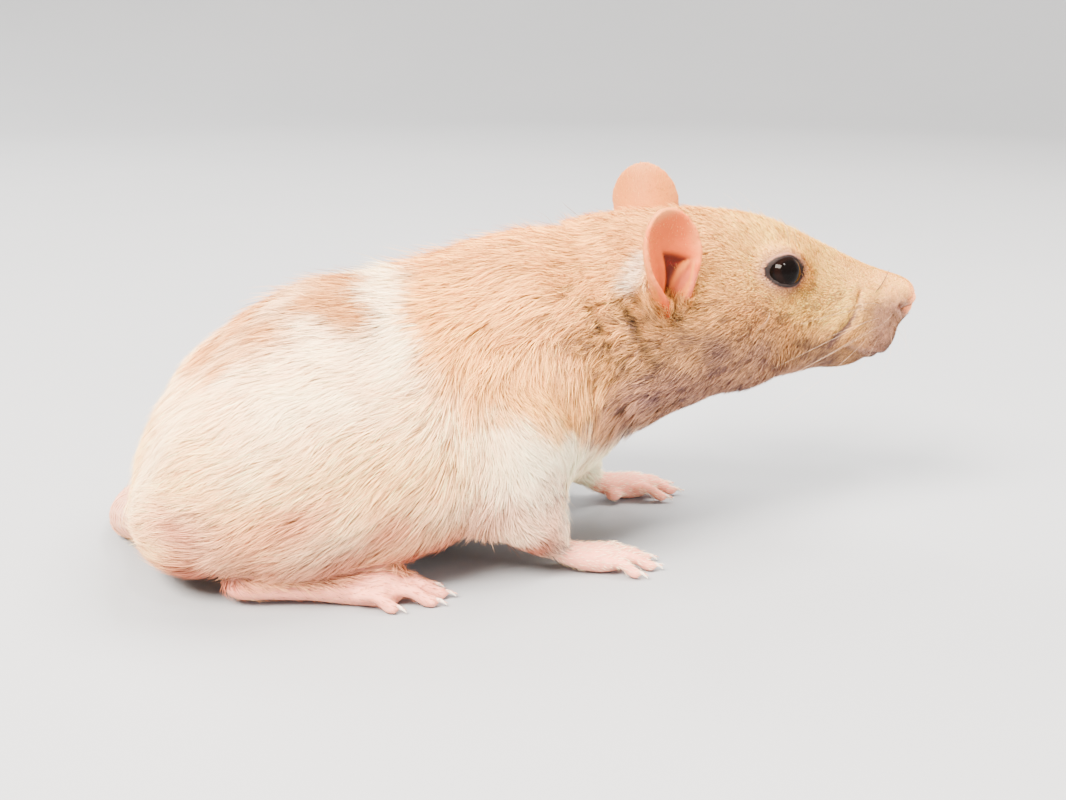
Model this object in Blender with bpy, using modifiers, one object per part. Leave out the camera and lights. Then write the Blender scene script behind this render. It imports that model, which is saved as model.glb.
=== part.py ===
"""Life-size still model of a young pet rat, crouched with its head raised.

The rat faces +X, its left side is +Y and the floor is Z = 0. Lengths below are in
millimetres and are multiplied by mm, so the scene is in metres. The soft body is modelled
whole as lofts and ellipsoids, blended into one surface and then parted with thin cuts into
the nodes that a person would name. Feet, tail, ears and eyes are made on their own and sit
in sockets of the body. The surface is the outside of the coat.
"""

import math

import bmesh
import bpy
from mathutils import Matrix, Vector

mm = 0.001

# Driving dimensions
gap = 0.3
voxel = 0.75
face_blend_rounds = 5
body_blend_rounds = 48
body_blend_from = 50.0
body_blend_to = 12.0
body_faces = 4200
eye_radius = 3.1
eye_centre = (38.4, 8.5, 45.7)
eye_outward = (0.24, 0.93, 0.28)
eye_opening = (3.0, 2.6)
lid_thickness = 0.5
tail_base_radius = 4.0
tail_tip_radius = 0.75
tail_pieces = 6
ear_length = 18.4
ear_sunk = 0.15
ear_wall = 0.9
floor_sink = 0.35

# Torso and neck: place along X, height of back, height of belly, half width
TORSO_SECTIONS = (
    (-65.4, 13.0, 8.0, 3.5),
    (-64.4, 17.0, 4.8, 10.0),
    (-62.0, 22.6, 2.9, 16.2),
    (-58.5, 28.4, 2.2, 20.8),
    (-52.5, 35.2, 1.8, 24.8),
    (-44.5, 41.4, 1.8, 27.2),
    (-36.7, 44.7, 1.8, 28.2),
    (-29.0, 46.2, 1.9, 28.0),
    (-21.2, 47.4, 2.2, 26.6),
    (-14.8, 49.3, 2.8, 24.8),
    (-5.3, 52.2, 5.5, 22.0),
    (4.3, 53.6, 11.0, 19.4),
    (12.4, 54.9, 16.8, 17.0),
    (20.0, 55.2, 21.2, 15.0),
    (27.0, 55.0, 23.2, 13.6),
)
# Head, from the nape to the tip of the nose, in the same terms
HEAD_SECTIONS = (
    (11.0, 53.0, 23.0, 12.0),
    (18.0, 55.1, 21.8, 14.2),
    (25.6, 55.4, 23.0, 14.4),
    (30.0, 55.1, 24.0, 13.8),
    (35.0, 54.3, 25.0, 12.4),
    (40.0, 52.9, 25.9, 10.6),
    (45.0, 50.7, 26.8, 9.0),
    (50.0, 48.1, 27.8, 7.7),
    (55.0, 45.4, 28.7, 6.7),
    (58.5, 43.9, 30.4, 5.6),
    (61.0, 43.1, 33.0, 4.2),
    (63.0, 41.9, 35.4, 3.2),
    (64.3, 40.4, 36.8, 2.1),
    (64.9, 39.2, 37.8, 0.9),
)
TORSO_POWER = (2.0, 2.7)
HEAD_POWER = (2.0, 2.2)
TORSO_WIDEST = 0.42
HEAD_WIDEST = 0.5

# Soft masses added on both sides: centre (Y mirrored), radii, turn about Y in degrees
SOFT_MASSES = {
    "thigh": ((-40.0, 16.0, 18.6), (21.0, 13.2, 17.2), 10),
    "knee": ((-25.0, 17.6, 13.2), (9.5, 7.0, 9.6), 0),
    "shoulder": ((-2.0, 13.0, 33.0), (12.5, 9.0, 15.5), -12),
    "rump": ((-53.0, 12.5, 12.6), (11.6, 11.0, 11.0), 0),
    "cheek": ((28.0, 6.6, 34.2), (13.5, 7.0, 8.4), 12),
    "whisker_pad": ((55.6, 3.5, 34.2), (5.0, 3.3, 4.6), 20),
    "brow": ((38.0, 6.6, 48.0), (6.5, 3.0, 3.0), 16),
    "nose_lobe": ((61.8, 1.3, 39.2), (2.9, 2.1, 3.2), 0),
}
CHIN = ((49.0, 0.0, 31.0), (8.4, 4.6, 4.0), 8)

# Fore legs: points of the bone line from shoulder to wrist, and the radius there
FORELEG = {
    "right": (
        ((-7.0, -12.5, 34.0), 11.5),
        ((-6.0, -15.8, 25.0), 10.0),
        ((-6.2, -16.7, 17.0), 8.0),
        ((-3.4, -16.2, 10.4), 6.0),
        ((0.2, -15.4, 6.3), 4.2),
        ((3.6, -15.0, 4.1), 2.9),
    ),
    "left": (
        ((-1.0, 12.5, 33.0), 11.5),
        ((2.6, 15.0, 24.6), 9.2),
        ((5.6, 16.0, 16.8), 7.2),
        ((9.2, 15.8, 10.2), 5.4),
        ((12.2, 15.4, 6.3), 4.0),
        ((15.6, 15.0, 4.1), 2.9),
    ),
}
WRIST = {"right": (1.9, -15.15, 4.8), "left": (13.9, 15.2, 4.8)}
WRIST_FACE = (0.86, 0.0, -0.5)
PAW_TURN = {"right": -4.0, "left": 5.0}
paw_scale = 1.06
HEEL = {"right": (-48.0, -18.6, 0.0), "left": (-46.0, 18.6, 0.0)}
FOOT_TURN = {"right": -7.0, "left": 8.0}

# Line of the tail on the floor, root first: it leaves the rump and curls round the left side
TAIL_LINE = (
    (-56.5, 0.8, 8.0),
    (-62.4, 3.6, 6.0),
    (-66.2, 10.2, 4.6),
    (-66.2, 19.2, 3.8),
    (-61.6, 27.6, 3.4),
    (-53.0, 33.4, 3.0),
    (-42.0, 36.6, 2.6),
    (-30.0, 38.0, 2.3),
    (-17.0, 38.8, 2.0),
    (-4.0, 40.6, 1.7),
    (9.0, 44.0, 1.4),
    (20.0, 49.6, 1.1),
    (29.0, 57.0, 0.8),
)

# Ears: root on the head, direction from root to tip, direction that the cup faces
EAR_ROOT = {"right": (17.7, -12.2, 43.2), "left": (21.1, 12.2, 45.1)}
EAR_UP = {"right": (-0.10, -0.30, 0.95), "left": (0.03, 0.24, 0.96)}
EAR_FACING = {"right": (0.50, -0.85, -0.12), "left": (0.42, 0.90, -0.12)}
# Share of the ear's height, half its width measured round the cup, and half the roll in radians
EAR_HALF_ARC = ((0.0, 4.6), (0.15, 5.4), (0.3, 6.1), (0.5, 6.7), (0.7, 6.9), (1.0, 6.6))
EAR_WRAP = ((0.0, 2.6), (0.15, 2.5), (0.3, 2.0), (0.45, 1.45), (0.6, 1.08), (0.8, 0.8), (1.0, 0.6))
CONCHA = ((2.0, 0.0, 2.2), (2.2, 2.2, 5.6))

# Regions that the limbs take from the body: centre, radii, turn about Y in degrees
THIGH_REGION = ((-39.0, 27.5, 17.0), (22.5, 14.5, 19.0), 10)
SHOULDER_REGION = {
    "right": ((-3.6, -23.5, 25.5), (10.5, 13.0, 14.0), -14),
    "left": ((2.6, 23.5, 24.5), (10.5, 13.0, 14.0), -14),
}

# Thin cuts across the neck: a point and the direction of the head from there
HEAD_CUT = ((11.2, 0.0, 40.0), (0.97, 0.0, 0.24))
NECK_CUT = ((-4.0, 0.0, 42.0), (0.95, 0.0, 0.31))

COLOURS = {
    "fawn_coat": ((0.72, 0.52, 0.36), 0.8),
    "white_coat": ((0.86, 0.79, 0.70), 0.8),
    "pink_skin": ((0.80, 0.50, 0.44), 0.55),
    "eye": ((0.012, 0.008, 0.008), 0.08),
    "tail_skin": ((0.74, 0.52, 0.45), 0.65),
}


def clear_scene():
    for obj in list(bpy.data.objects):
        bpy.data.objects.remove(obj)


def new_collection(name):
    collection = bpy.data.collections.new(name)
    bpy.context.scene.collection.children.link(collection)
    return collection


def make_materials():
    made = {}
    for name, (colour, roughness) in COLOURS.items():
        material = bpy.data.materials.new(name)
        material.use_nodes = True
        shader = material.node_tree.nodes["Principled BSDF"]
        shader.inputs["Base Color"].default_value = (*colour, 1.0)
        shader.inputs["Roughness"].default_value = roughness
        shader.inputs["Metallic"].default_value = 0.0
        material.diffuse_color = (*colour, 1.0)
        made[name] = material
    return made


def smooth_rows(rows, steps):
    """Rows of numbers on a Catmull-Rom curve through the given rows, with steps between neighbours."""
    last = len(rows) - 1
    out = []
    for i in range(last):
        before, start = rows[max(i - 1, 0)], rows[i]
        end, after = rows[i + 1], rows[min(i + 2, last)]
        for k in range(steps):
            t = k / steps
            out.append(
                tuple(
                    0.5
                    * (
                        2 * b
                        + (c - a) * t
                        + (2 * a - 5 * b + 4 * c - d) * t * t
                        + (3 * b - a - 3 * c + d) * t**3
                    )
                    for a, b, c, d in zip(before, start, end, after)
                )
            )
    out.append(tuple(rows[last]))
    return out


def face_outwards(bm):
    bmesh.ops.recalc_face_normals(bm, faces=bm.faces)
    if bm.calc_volume(signed=True) < 0:
        bmesh.ops.reverse_faces(bm, faces=bm.faces)


def mesh_object(name, bm, collection):
    face_outwards(bm)
    mesh = bpy.data.meshes.new(name)
    bm.to_mesh(mesh)
    bm.free()
    obj = bpy.data.objects.new(name, mesh)
    collection.objects.link(obj)
    return obj


def loft(name, rings, collection, pointed_end=False):
    """A closed skin over rings of points, with flat ends, or a pointed last end."""
    bm = bmesh.new()
    loops = [[bm.verts.new(Vector(p) * mm) for p in ring] for ring in rings]
    count = len(loops[0])
    for lower, upper in zip(loops, loops[1:]):
        for i in range(count):
            j = (i + 1) % count
            bm.faces.new((lower[i], lower[j], upper[j], upper[i]))
    bm.faces.new(loops[0])
    bm.faces.new(loops[-1])
    if pointed_end:
        bmesh.ops.pointmerge(
            bm, verts=loops[-1], merge_co=sum((v.co for v in loops[-1]), Vector()) / count
        )
    bmesh.ops.triangulate(bm, faces=[f for f in bm.faces if len(f.verts) > 4])
    return mesh_object(name, bm, collection)


def body_ring(x, top, bottom, half_width, widest, power, count=40):
    """An upright section of the body, widest at a share of its height, rounder or squarer by power."""
    middle = bottom + (top - bottom) * widest
    ring = []
    for i in range(count):
        angle = 2 * math.pi * i / count
        across, up = math.cos(angle), math.sin(angle)
        rise = top - middle if up > 0 else middle - bottom
        bend = 2.0 / (power[0] if up > 0 else power[1])
        ring.append(
            (
                x,
                half_width * math.copysign(abs(across) ** bend, across),
                middle + rise * math.copysign(abs(up) ** bend, up),
            )
        )
    return ring


def tube_rings(points, radii, sides, flatten=1.0, phase=0.0):
    """Rings square to a line of points; flatten squeezes them upright."""
    points = [Vector(p) for p in points]
    rings = []
    side = None
    for i, point in enumerate(points):
        ahead = points[min(i + 1, len(points) - 1)] - points[max(i - 1, 0)]
        ahead.normalize()
        if side is None:
            side = ahead.cross(Vector((0, 0, 1)))
            if side.length < 0.05:
                side = Vector((0, 1, 0))
        side = (side - ahead * side.dot(ahead)).normalized()
        up = side.cross(ahead).normalized()
        ring = []
        for k in range(sides):
            angle = phase + 2 * math.pi * k / sides
            ring.append(
                point
                + side * math.cos(angle) * radii[i]
                + up * math.sin(angle) * radii[i] * flatten
            )
        rings.append(ring)
    return rings


def tube(name, line, collection, sides=16, steps=4, grow=0.0, flatten=1.0, pointed_end=False):
    """A tapered limb along (point, radius) stops."""
    rows = smooth_rows([(*point, radius + grow) for point, radius in line], steps)
    rings = tube_rings([r[:3] for r in rows], [r[3] for r in rows], sides, flatten)
    return loft(name, rings, collection, pointed_end)


def ellipsoid(name, centre, radii, turn, collection, segments=28, rings=18, pole="Z"):
    bpy.ops.mesh.primitive_uv_sphere_add(segments=segments, ring_count=rings, radius=1)
    obj = bpy.context.object
    obj.name = name
    if pole == "Y":
        obj.data.transform(Matrix.Rotation(math.radians(90), 4, "X"))
    place = (
        Matrix.Translation(Vector(centre) * mm)
        @ Matrix.Rotation(math.radians(turn), 4, "Y")
        @ Matrix.Diagonal((*(Vector(radii) * mm), 1.0))
    )
    obj.data.transform(place)
    for old in list(obj.users_collection):
        old.objects.unlink(obj)
    collection.objects.link(obj)
    return obj


def frame_matrix(origin, forward, up):
    """Local X to forward and local Z near up, at origin."""
    x_axis = Vector(forward).normalized()
    z_axis = Vector(up) - x_axis * Vector(up).dot(x_axis)
    z_axis.normalize()
    y_axis = z_axis.cross(x_axis)
    turn = Matrix((x_axis, y_axis, z_axis)).transposed().to_4x4()
    return Matrix.Translation(Vector(origin) * mm) @ turn


def bake_modifiers(obj):
    """Replaces the object's mesh by its evaluated mesh."""
    graph = bpy.context.evaluated_depsgraph_get()
    made = bpy.data.meshes.new_from_object(obj.evaluated_get(graph))
    obj.modifiers.clear()
    obj.data = made
    return obj


def boolean(obj, cutter, operation, solver="MANIFOLD"):
    modifier = obj.modifiers.new(operation.lower(), "BOOLEAN")
    modifier.operation = operation
    modifier.solver = solver
    modifier.object = cutter
    return bake_modifiers(obj)


def fuse(name, pieces, collection, solver="MANIFOLD"):
    """Joins closed pieces into one body in one union, and removes them."""
    if len(pieces) == 1:
        pieces[0].name = name
        return pieces[0]
    held = bpy.data.collections.new(name + "_pieces")
    bpy.context.scene.collection.children.link(held)
    body = pieces[0]
    for piece in pieces[1:]:
        for old in list(piece.users_collection):
            old.objects.unlink(piece)
        held.objects.link(piece)
    modifier = body.modifiers.new("join", "BOOLEAN")
    modifier.operation = "UNION"
    modifier.solver = solver
    modifier.operand_type = "COLLECTION"
    modifier.collection = held
    bake_modifiers(body)
    for piece in list(held.objects):
        bpy.data.objects.remove(piece)
    bpy.data.collections.remove(held)
    body.name = name
    for old in list(body.users_collection):
        old.objects.unlink(body)
    collection.objects.link(body)
    return body


def keep_largest(obj):
    """Keeps the largest closed surface and drops loose scraps."""
    bm = bmesh.new()
    bm.from_mesh(obj.data)
    bmesh.ops.remove_doubles(bm, verts=bm.verts, dist=0.00001)
    bmesh.ops.dissolve_degenerate(bm, edges=bm.edges, dist=0.00001)
    bm.verts.ensure_lookup_table()
    seen = set()
    islands = []
    for start in bm.verts:
        if start in seen:
            continue
        seen.add(start)
        stack, island = [start], []
        while stack:
            vert = stack.pop()
            island.append(vert)
            for edge in vert.link_edges:
                other = edge.other_vert(vert)
                if other not in seen:
                    seen.add(other)
                    stack.append(other)
        islands.append(island)

    def spread(island):
        low = [min(v.co[k] for v in island) for k in range(3)]
        high = [max(v.co[k] for v in island) for k in range(3)]
        return sum(h - l for l, h in zip(low, high))

    best = max(islands, key=spread)
    for island in islands:
        if island is not best:
            bmesh.ops.delete(bm, geom=island, context="VERTS")
    bmesh.ops.triangulate(bm, faces=bm.faces)
    bm.to_mesh(obj.data)
    bm.free()
    return obj


def copy_of(obj, name, collection):
    made = bpy.data.objects.new(name, obj.data.copy())
    collection.objects.link(made)
    return made


def half_space(name, point, direction, collection, reach=220.0):
    """A large block that fills the side of the plane that direction points to."""
    bpy.ops.mesh.primitive_cube_add(size=1)
    block = bpy.context.object
    block.name = name
    place = (
        frame_matrix(point, direction, (0, 0.1, 1))
        @ Matrix.Scale(reach * mm, 4)
        @ Matrix.Translation((0.5, 0, 0))
    )
    block.data.transform(place)
    for old in list(block.users_collection):
        old.objects.unlink(block)
    collection.objects.link(block)
    return block


def side_sign(side):
    return -1.0 if side == "right" else 1.0


def mirrored(point, side):
    return (point[0], point[1] * side_sign(side), point[2])


def make_flesh(collection):
    """Torso, neck, head, thighs and fore legs as one blended surface."""
    torso_rows = smooth_rows(TORSO_SECTIONS, 3)
    head_rows = smooth_rows(HEAD_SECTIONS, 3)
    pieces = [
        loft("torso_loft", [body_ring(*row, TORSO_WIDEST, TORSO_POWER) for row in torso_rows], collection),
        loft("head_loft", [body_ring(*row, HEAD_WIDEST, HEAD_POWER) for row in head_rows], collection),
        ellipsoid("chin_mass", *CHIN, collection),
    ]
    for name, (centre, radii, turn) in SOFT_MASSES.items():
        for side in ("right", "left"):
            pieces.append(ellipsoid(f"{name}_{side}", mirrored(centre, side), radii, turn, collection))
    for side, line in FORELEG.items():
        pieces.append(tube(f"leg_loft_{side}", line, collection, sides=20))
    flesh = fuse("flesh", pieces, collection)
    remesh = flesh.modifiers.new("blend", "REMESH")
    remesh.mode = "VOXEL"
    remesh.voxel_size = voxel * mm
    bake_modifiers(flesh)
    group = flesh.vertex_groups.new(name="body")
    for vert in flesh.data.vertices:
        share = (body_blend_from - vert.co.x / mm) / (body_blend_from - body_blend_to)
        low = min(vert.co.z / mm / 12.0, 1.0)
        group.add([vert.index], max(0.0, min(1.0, share)) * max(low, 0.15), "REPLACE")
    for name, rounds, members in (
        ("soften_all", face_blend_rounds, ""),
        ("soften_body", body_blend_rounds, "body"),
    ):
        soften = flesh.modifiers.new(name, "SMOOTH")
        soften.factor = 0.5
        soften.iterations = rounds
        soften.vertex_group = members
    bake_modifiers(flesh)
    triangles = 2 * len(flesh.data.polygons)
    thin = flesh.modifiers.new("thin", "DECIMATE")
    thin.ratio = body_faces / triangles
    keep_largest(bake_modifiers(flesh))
    return flesh


def eye_frame(side):
    return frame_matrix(mirrored(eye_centre, side), mirrored(eye_outward, side), (0, 0, 1))


def make_eye(side, collection):
    eye = ellipsoid(f"eye_{side}", (0, 0, 0), (eye_radius,) * 3, 0, collection, 18, 11)
    eye.data.transform(eye_frame(side))
    return eye


def add_lids(head, side, cutters):
    """Lids as a low rim round the almond opening, over a socket that holds the eye."""
    frame = eye_frame(side)
    lid = ellipsoid("lid", (0, 0, 0), (eye_radius + lid_thickness,) * 3, 0, cutters, 18, 12)
    socket = ellipsoid("socket", (0, 0, 0), (eye_radius + gap,) * 3, 0, cutters, 16, 10)
    opening = almond("opening", cutters)
    for tool in (lid, socket, opening):
        tool.data.transform(frame)
    boolean(head, lid, "UNION")
    boolean(head, socket, "DIFFERENCE")
    boolean(head, opening, "DIFFERENCE")
    for tool in (lid, socket, opening):
        bpy.data.objects.remove(tool)
    return head


def almond(name, collection, count=20):
    """A block whose section is the opening between the lids, with its long axis along local Y."""
    half_long, half_high = eye_opening
    rings = []
    for depth, spread in ((0.4, 0.94), (2.4, 1.0), (5.0, 1.1)):
        ring = []
        for i in range(count):
            angle = 2 * math.pi * i / count
            along = math.cos(angle)
            height = math.copysign(abs(math.sin(angle)) ** 1.25, math.sin(angle))
            ring.append((depth, half_long * along * spread, half_high * height * spread))
        rings.append(ring)
    return loft(name, rings, collection)


def from_table(table, place):
    """The value at place on straight lines between the pairs of a table."""
    for (low, first), (high, second) in zip(table, table[1:]):
        if place <= high:
            return first + (second - first) * (place - low) / (high - low)
    return table[-1][1]


def ear_shell(name, side, collection, grow=0.0):
    """The cup of the ear: a rounded leaf above a rolled funnel, made thick with Solidify."""
    cells = 10
    bm = bmesh.new()
    grid = []
    for j in range(cells + 1):
        share = j / cells
        dome = max(0.0, 2 * share - 1)
        row = []
        for i in range(cells + 1):
            across = 2 * i / cells - 1
            # The upper half is eased into a round end
            wide = across * math.sqrt(1 - dome * dome / 2)
            height = share if dome == 0 else 0.5 + 0.5 * dome * math.sqrt(1 - across * across / 2)
            half_arc = from_table(EAR_HALF_ARC, height)
            radius = half_arc / from_table(EAR_WRAP, height)
            half_arc += 1.5 * grow
            turn = half_arc * wide / radius
            dish = 1.0 * height * (1 - wide * wide)
            row.append(
                bm.verts.new(
                    Vector(
                        (
                            radius * (1 - math.cos(turn)) - dish + 1.6 * height**4,
                            radius * math.sin(turn),
                            ear_length * (height - ear_sunk) - 1.5 * grow * (1 - share),
                        )
                    )
                    * mm
                )
            )
        grid.append(row)
    for low, top in zip(grid, grid[1:]):
        for i in range(cells):
            bm.faces.new((low[i], low[i + 1], top[i + 1], top[i]))
    mesh = bpy.data.meshes.new(name)
    bm.to_mesh(mesh)
    bm.free()
    ear = bpy.data.objects.new(name, mesh)
    collection.objects.link(ear)
    mesh.transform(ear_frame(side))
    wall = ear.modifiers.new("wall", "SOLIDIFY")
    wall.thickness = (ear_wall + 2 * grow) * mm
    wall.offset = 0.0
    bake_modifiers(ear)
    bm = bmesh.new()
    bm.from_mesh(ear.data)
    face_outwards(bm)
    bmesh.ops.triangulate(bm, faces=bm.faces)
    bm.to_mesh(ear.data)
    bm.free()
    return ear


def ear_frame(side):
    """Local Z runs up the ear and local X is the way that the cup faces."""
    up = Vector(EAR_UP[side]).normalized()
    facing = Vector(EAR_FACING[side])
    facing = (facing - up * facing.dot(up)).normalized()
    across = up.cross(facing)
    turn = Matrix((facing, across, up)).transposed().to_4x4()
    return Matrix.Translation(Vector(EAR_ROOT[side]) * mm) @ turn


# A claw from its root inside the toe: share of its length, height, radius
CLAW = ((-0.35, 1.0, 0.42), (0.25, 1.15, 0.4), (0.7, 0.85, 0.27), (1.0, 0.45, 0.06))
# Digits of the forepaw and of the hind foot: turn, place across, start and reach
FINGERS = ((-0.42, -2.3, 6.4, 5.2), (-0.12, -0.85, 7.6, 6.4), (0.13, 0.85, 7.6, 6.2), (0.42, 2.3, 6.4, 5.0))
TOES = (
    (0.34, 3.0, 17.6, 6.4),
    (0.13, 1.9, 21.6, 8.0),
    (0.0, 0.0, 22.3, 8.6),
    (-0.13, -1.9, 21.4, 7.8),
    (-0.36, -3.0, 16.4, 5.4),
)


def digit(name, root, reach, turn, rise, radius, collection, claw):
    """A toe with its pad and a tapered claw, from root along the floor."""
    direction = Vector((math.cos(turn), math.sin(turn), 0))
    root = Vector(root)
    stops = (
        (-0.14, root.z, 0.55),
        (0.06, root.z, 1.04),
        (0.28, root.z + rise, 1.02),
        (0.55, root.z + rise * 0.35, 0.9),
        (0.8, 1.05, 0.92),
        (0.95, 0.85, 0.86),
        (1.0, 0.85, 0.55),
    )
    line = [
        ((*(root + direction * reach * share).to_2d(), height), radius * size)
        for share, height, size in stops
    ]
    toe = tube(name, line, collection, sides=7, steps=1)
    tip = root + direction * reach
    nail = [
        ((*(tip + direction * claw * share).to_2d(), height), size)
        for share, height, size in CLAW
    ]
    return [toe, tube(name + "_claw", nail, collection, sides=5, steps=1)]


def make_forepaw(side, collection):
    """Palm, four digits, the stub of a thumb and claws, from the wrist forward."""
    palm = [
        ((-2.0, 0, 4.6), 2.3),
        ((0.6, 0, 3.1), 2.4),
        ((3.2, 0, 2.3), 2.75),
        ((6.0, 0, 2.0), 3.0),
        ((8.2, 0, 1.7), 2.5),
        ((9.4, 0, 1.5), 1.5),
    ]
    pieces = [tube("palm", palm, collection, sides=12, steps=1, flatten=0.74)]
    for k, (turn, offset, start, reach) in enumerate(FINGERS):
        pieces += digit(f"digit{k}", (start, offset, 1.9), reach, turn, 0.55, 1.0, collection, 1.9)
    inward = side_sign(side) * -1
    pieces.append(ellipsoid("thumb", (2.6, 2.6 * inward, 1.5), (1.5, 1.1, 1.1), 0, collection, 10, 8))
    paw = fuse(f"forepaw_{side}", pieces, collection)
    wrist = Vector(WRIST[side])
    place = (
        Matrix.Translation(Vector((wrist.x, wrist.y, 0)) * mm)
        @ Matrix.Rotation(math.radians(PAW_TURN[side]), 4, "Z")
        @ Matrix.Scale(paw_scale, 4)
    )
    paw.data.transform(place)
    return paw


def make_hind_foot(side, collection, grow=0.0):
    """Long sole from heel to toes, with five digits and claws."""
    sole = [
        ((-2.4, 0, 2.7), 0.9),
        ((-1.5, 0, 2.9), 2.1),
        ((0.5, 0, 3.1), 2.8),
        ((5.0, 0, 3.2), 2.9),
        ((11.0, 0, 3.0), 3.0),
        ((17.0, 0, 2.6), 3.5),
        ((21.5, 0, 2.2), 3.9),
        ((23.5, 0, 1.9), 2.9),
        ((24.6, 0, 1.7), 1.6),
    ]
    pieces = [tube("sole", sole, collection, sides=12, steps=1, flatten=0.85, grow=grow)]
    outer = side_sign(side)
    for k, (turn, offset, start, reach) in enumerate(TOES):
        root = (start, offset * outer, 2.2)
        toe, claw = digit(f"toe{k}", root, reach, turn * outer, 0.5, 1.2 + grow, collection, 2.2)
        pieces.append(toe)
        if grow:
            bpy.data.objects.remove(claw)
        else:
            pieces.append(claw)
    foot = fuse(f"hind_foot_{side}", pieces, collection)
    place = Matrix.Translation(Vector(HEEL[side]) * mm) @ Matrix.Rotation(
        math.radians(FOOT_TURN[side]), 4, "Z"
    )
    foot.data.transform(place)
    return foot


def tail_rows():
    """Points of the tail at even steps of its length, with the radius there."""
    fine = [Vector(row) for row in smooth_rows(TAIL_LINE, 12)]
    lengths = [0.0]
    for a, b in zip(fine, fine[1:]):
        lengths.append(lengths[-1] + (b - a).length)
    total = lengths[-1]
    count = 48
    rows = []
    k = 0
    for i in range(count + 1):
        target = total * i / count
        while k < len(fine) - 2 and lengths[k + 1] < target:
            k += 1
        part = (target - lengths[k]) / max(lengths[k + 1] - lengths[k], 1e-9)
        point = fine[k].lerp(fine[k + 1], part)
        share = i / count
        radius = tail_tip_radius + (tail_base_radius - tail_tip_radius) * (1 - share) ** 1.25
        if i == count:
            radius = 0.3
        if share > 0.12:
            point.z = radius - floor_sink * 0.6
        rows.append((point, radius, target))
    return rows


def make_tail(collection):
    """The tail in lengths that meet face to face."""
    rows = tail_rows()
    rings = tube_rings([row[0] for row in rows], [row[1] for row in rows], 10)
    lengths = []
    count = len(rows) - 1
    for piece in range(tail_pieces):
        first = round(count * piece / tail_pieces)
        last = round(count * (piece + 1) / tail_pieces)
        own = rings[first : last + 1]
        if piece:
            step = (rows[first + 1][0] - rows[first][0]).length
            own[0] = [near.lerp(far, gap * 1.3 / step) for near, far in zip(own[0], own[1])]
        lengths.append(loft(f"tail_{piece + 1}", own, collection))
    return lengths


def cut_mouth(head, cutters):
    """The line of the mouth, the split of the upper lip and the nostrils."""
    lip_line = [
        ((52.4, -7.4, 31.6), 0.28),
        ((54.5, -6.6, 30.3), 0.42),
        ((57.0, -4.9, 29.8), 0.5),
        ((59.2, -2.6, 30.3), 0.5),
        ((60.1, 0.0, 30.9), 0.5),
    ]
    full = lip_line + [((p[0], -p[1], p[2]), r) for p, r in reversed(lip_line[:-1])]
    tools = [tube("mouth", full, cutters, sides=6, steps=2)]
    philtrum = [
        ((60.4, 0, 31.0), 0.34),
        ((61.9, 0, 33.4), 0.36),
        ((64.0, 0, 36.0), 0.4),
        ((65.2, 0, 38.0), 0.34),
    ]
    tools.append(tube("philtrum", philtrum, cutters, sides=6, steps=1))
    for sign in (-1, 1):
        slit = [
            ((63.7, 1.4 * sign, 37.9), 0.55),
            ((63.0, 2.5 * sign, 37.3), 0.7),
            ((61.9, 3.2 * sign, 37.3), 0.5),
            ((60.9, 3.7 * sign, 38.0), 0.22),
        ]
        tools.append(tube("nostril", slit, cutters, sides=8, steps=1))
        crease = [
            ((57.8, 5.2 * sign, 39.2), 0.25),
            ((56.0, 6.6 * sign, 36.8), 0.5),
            ((53.6, 7.3 * sign, 34.0), 0.55),
            ((51.4, 7.7 * sign, 31.4), 0.3),
        ]
        tools.append(tube("crease", crease, cutters, sides=6, steps=2))
    for tool in tools:
        boolean(head, tool, "DIFFERENCE")
        bpy.data.objects.remove(tool)
    return head


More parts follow.
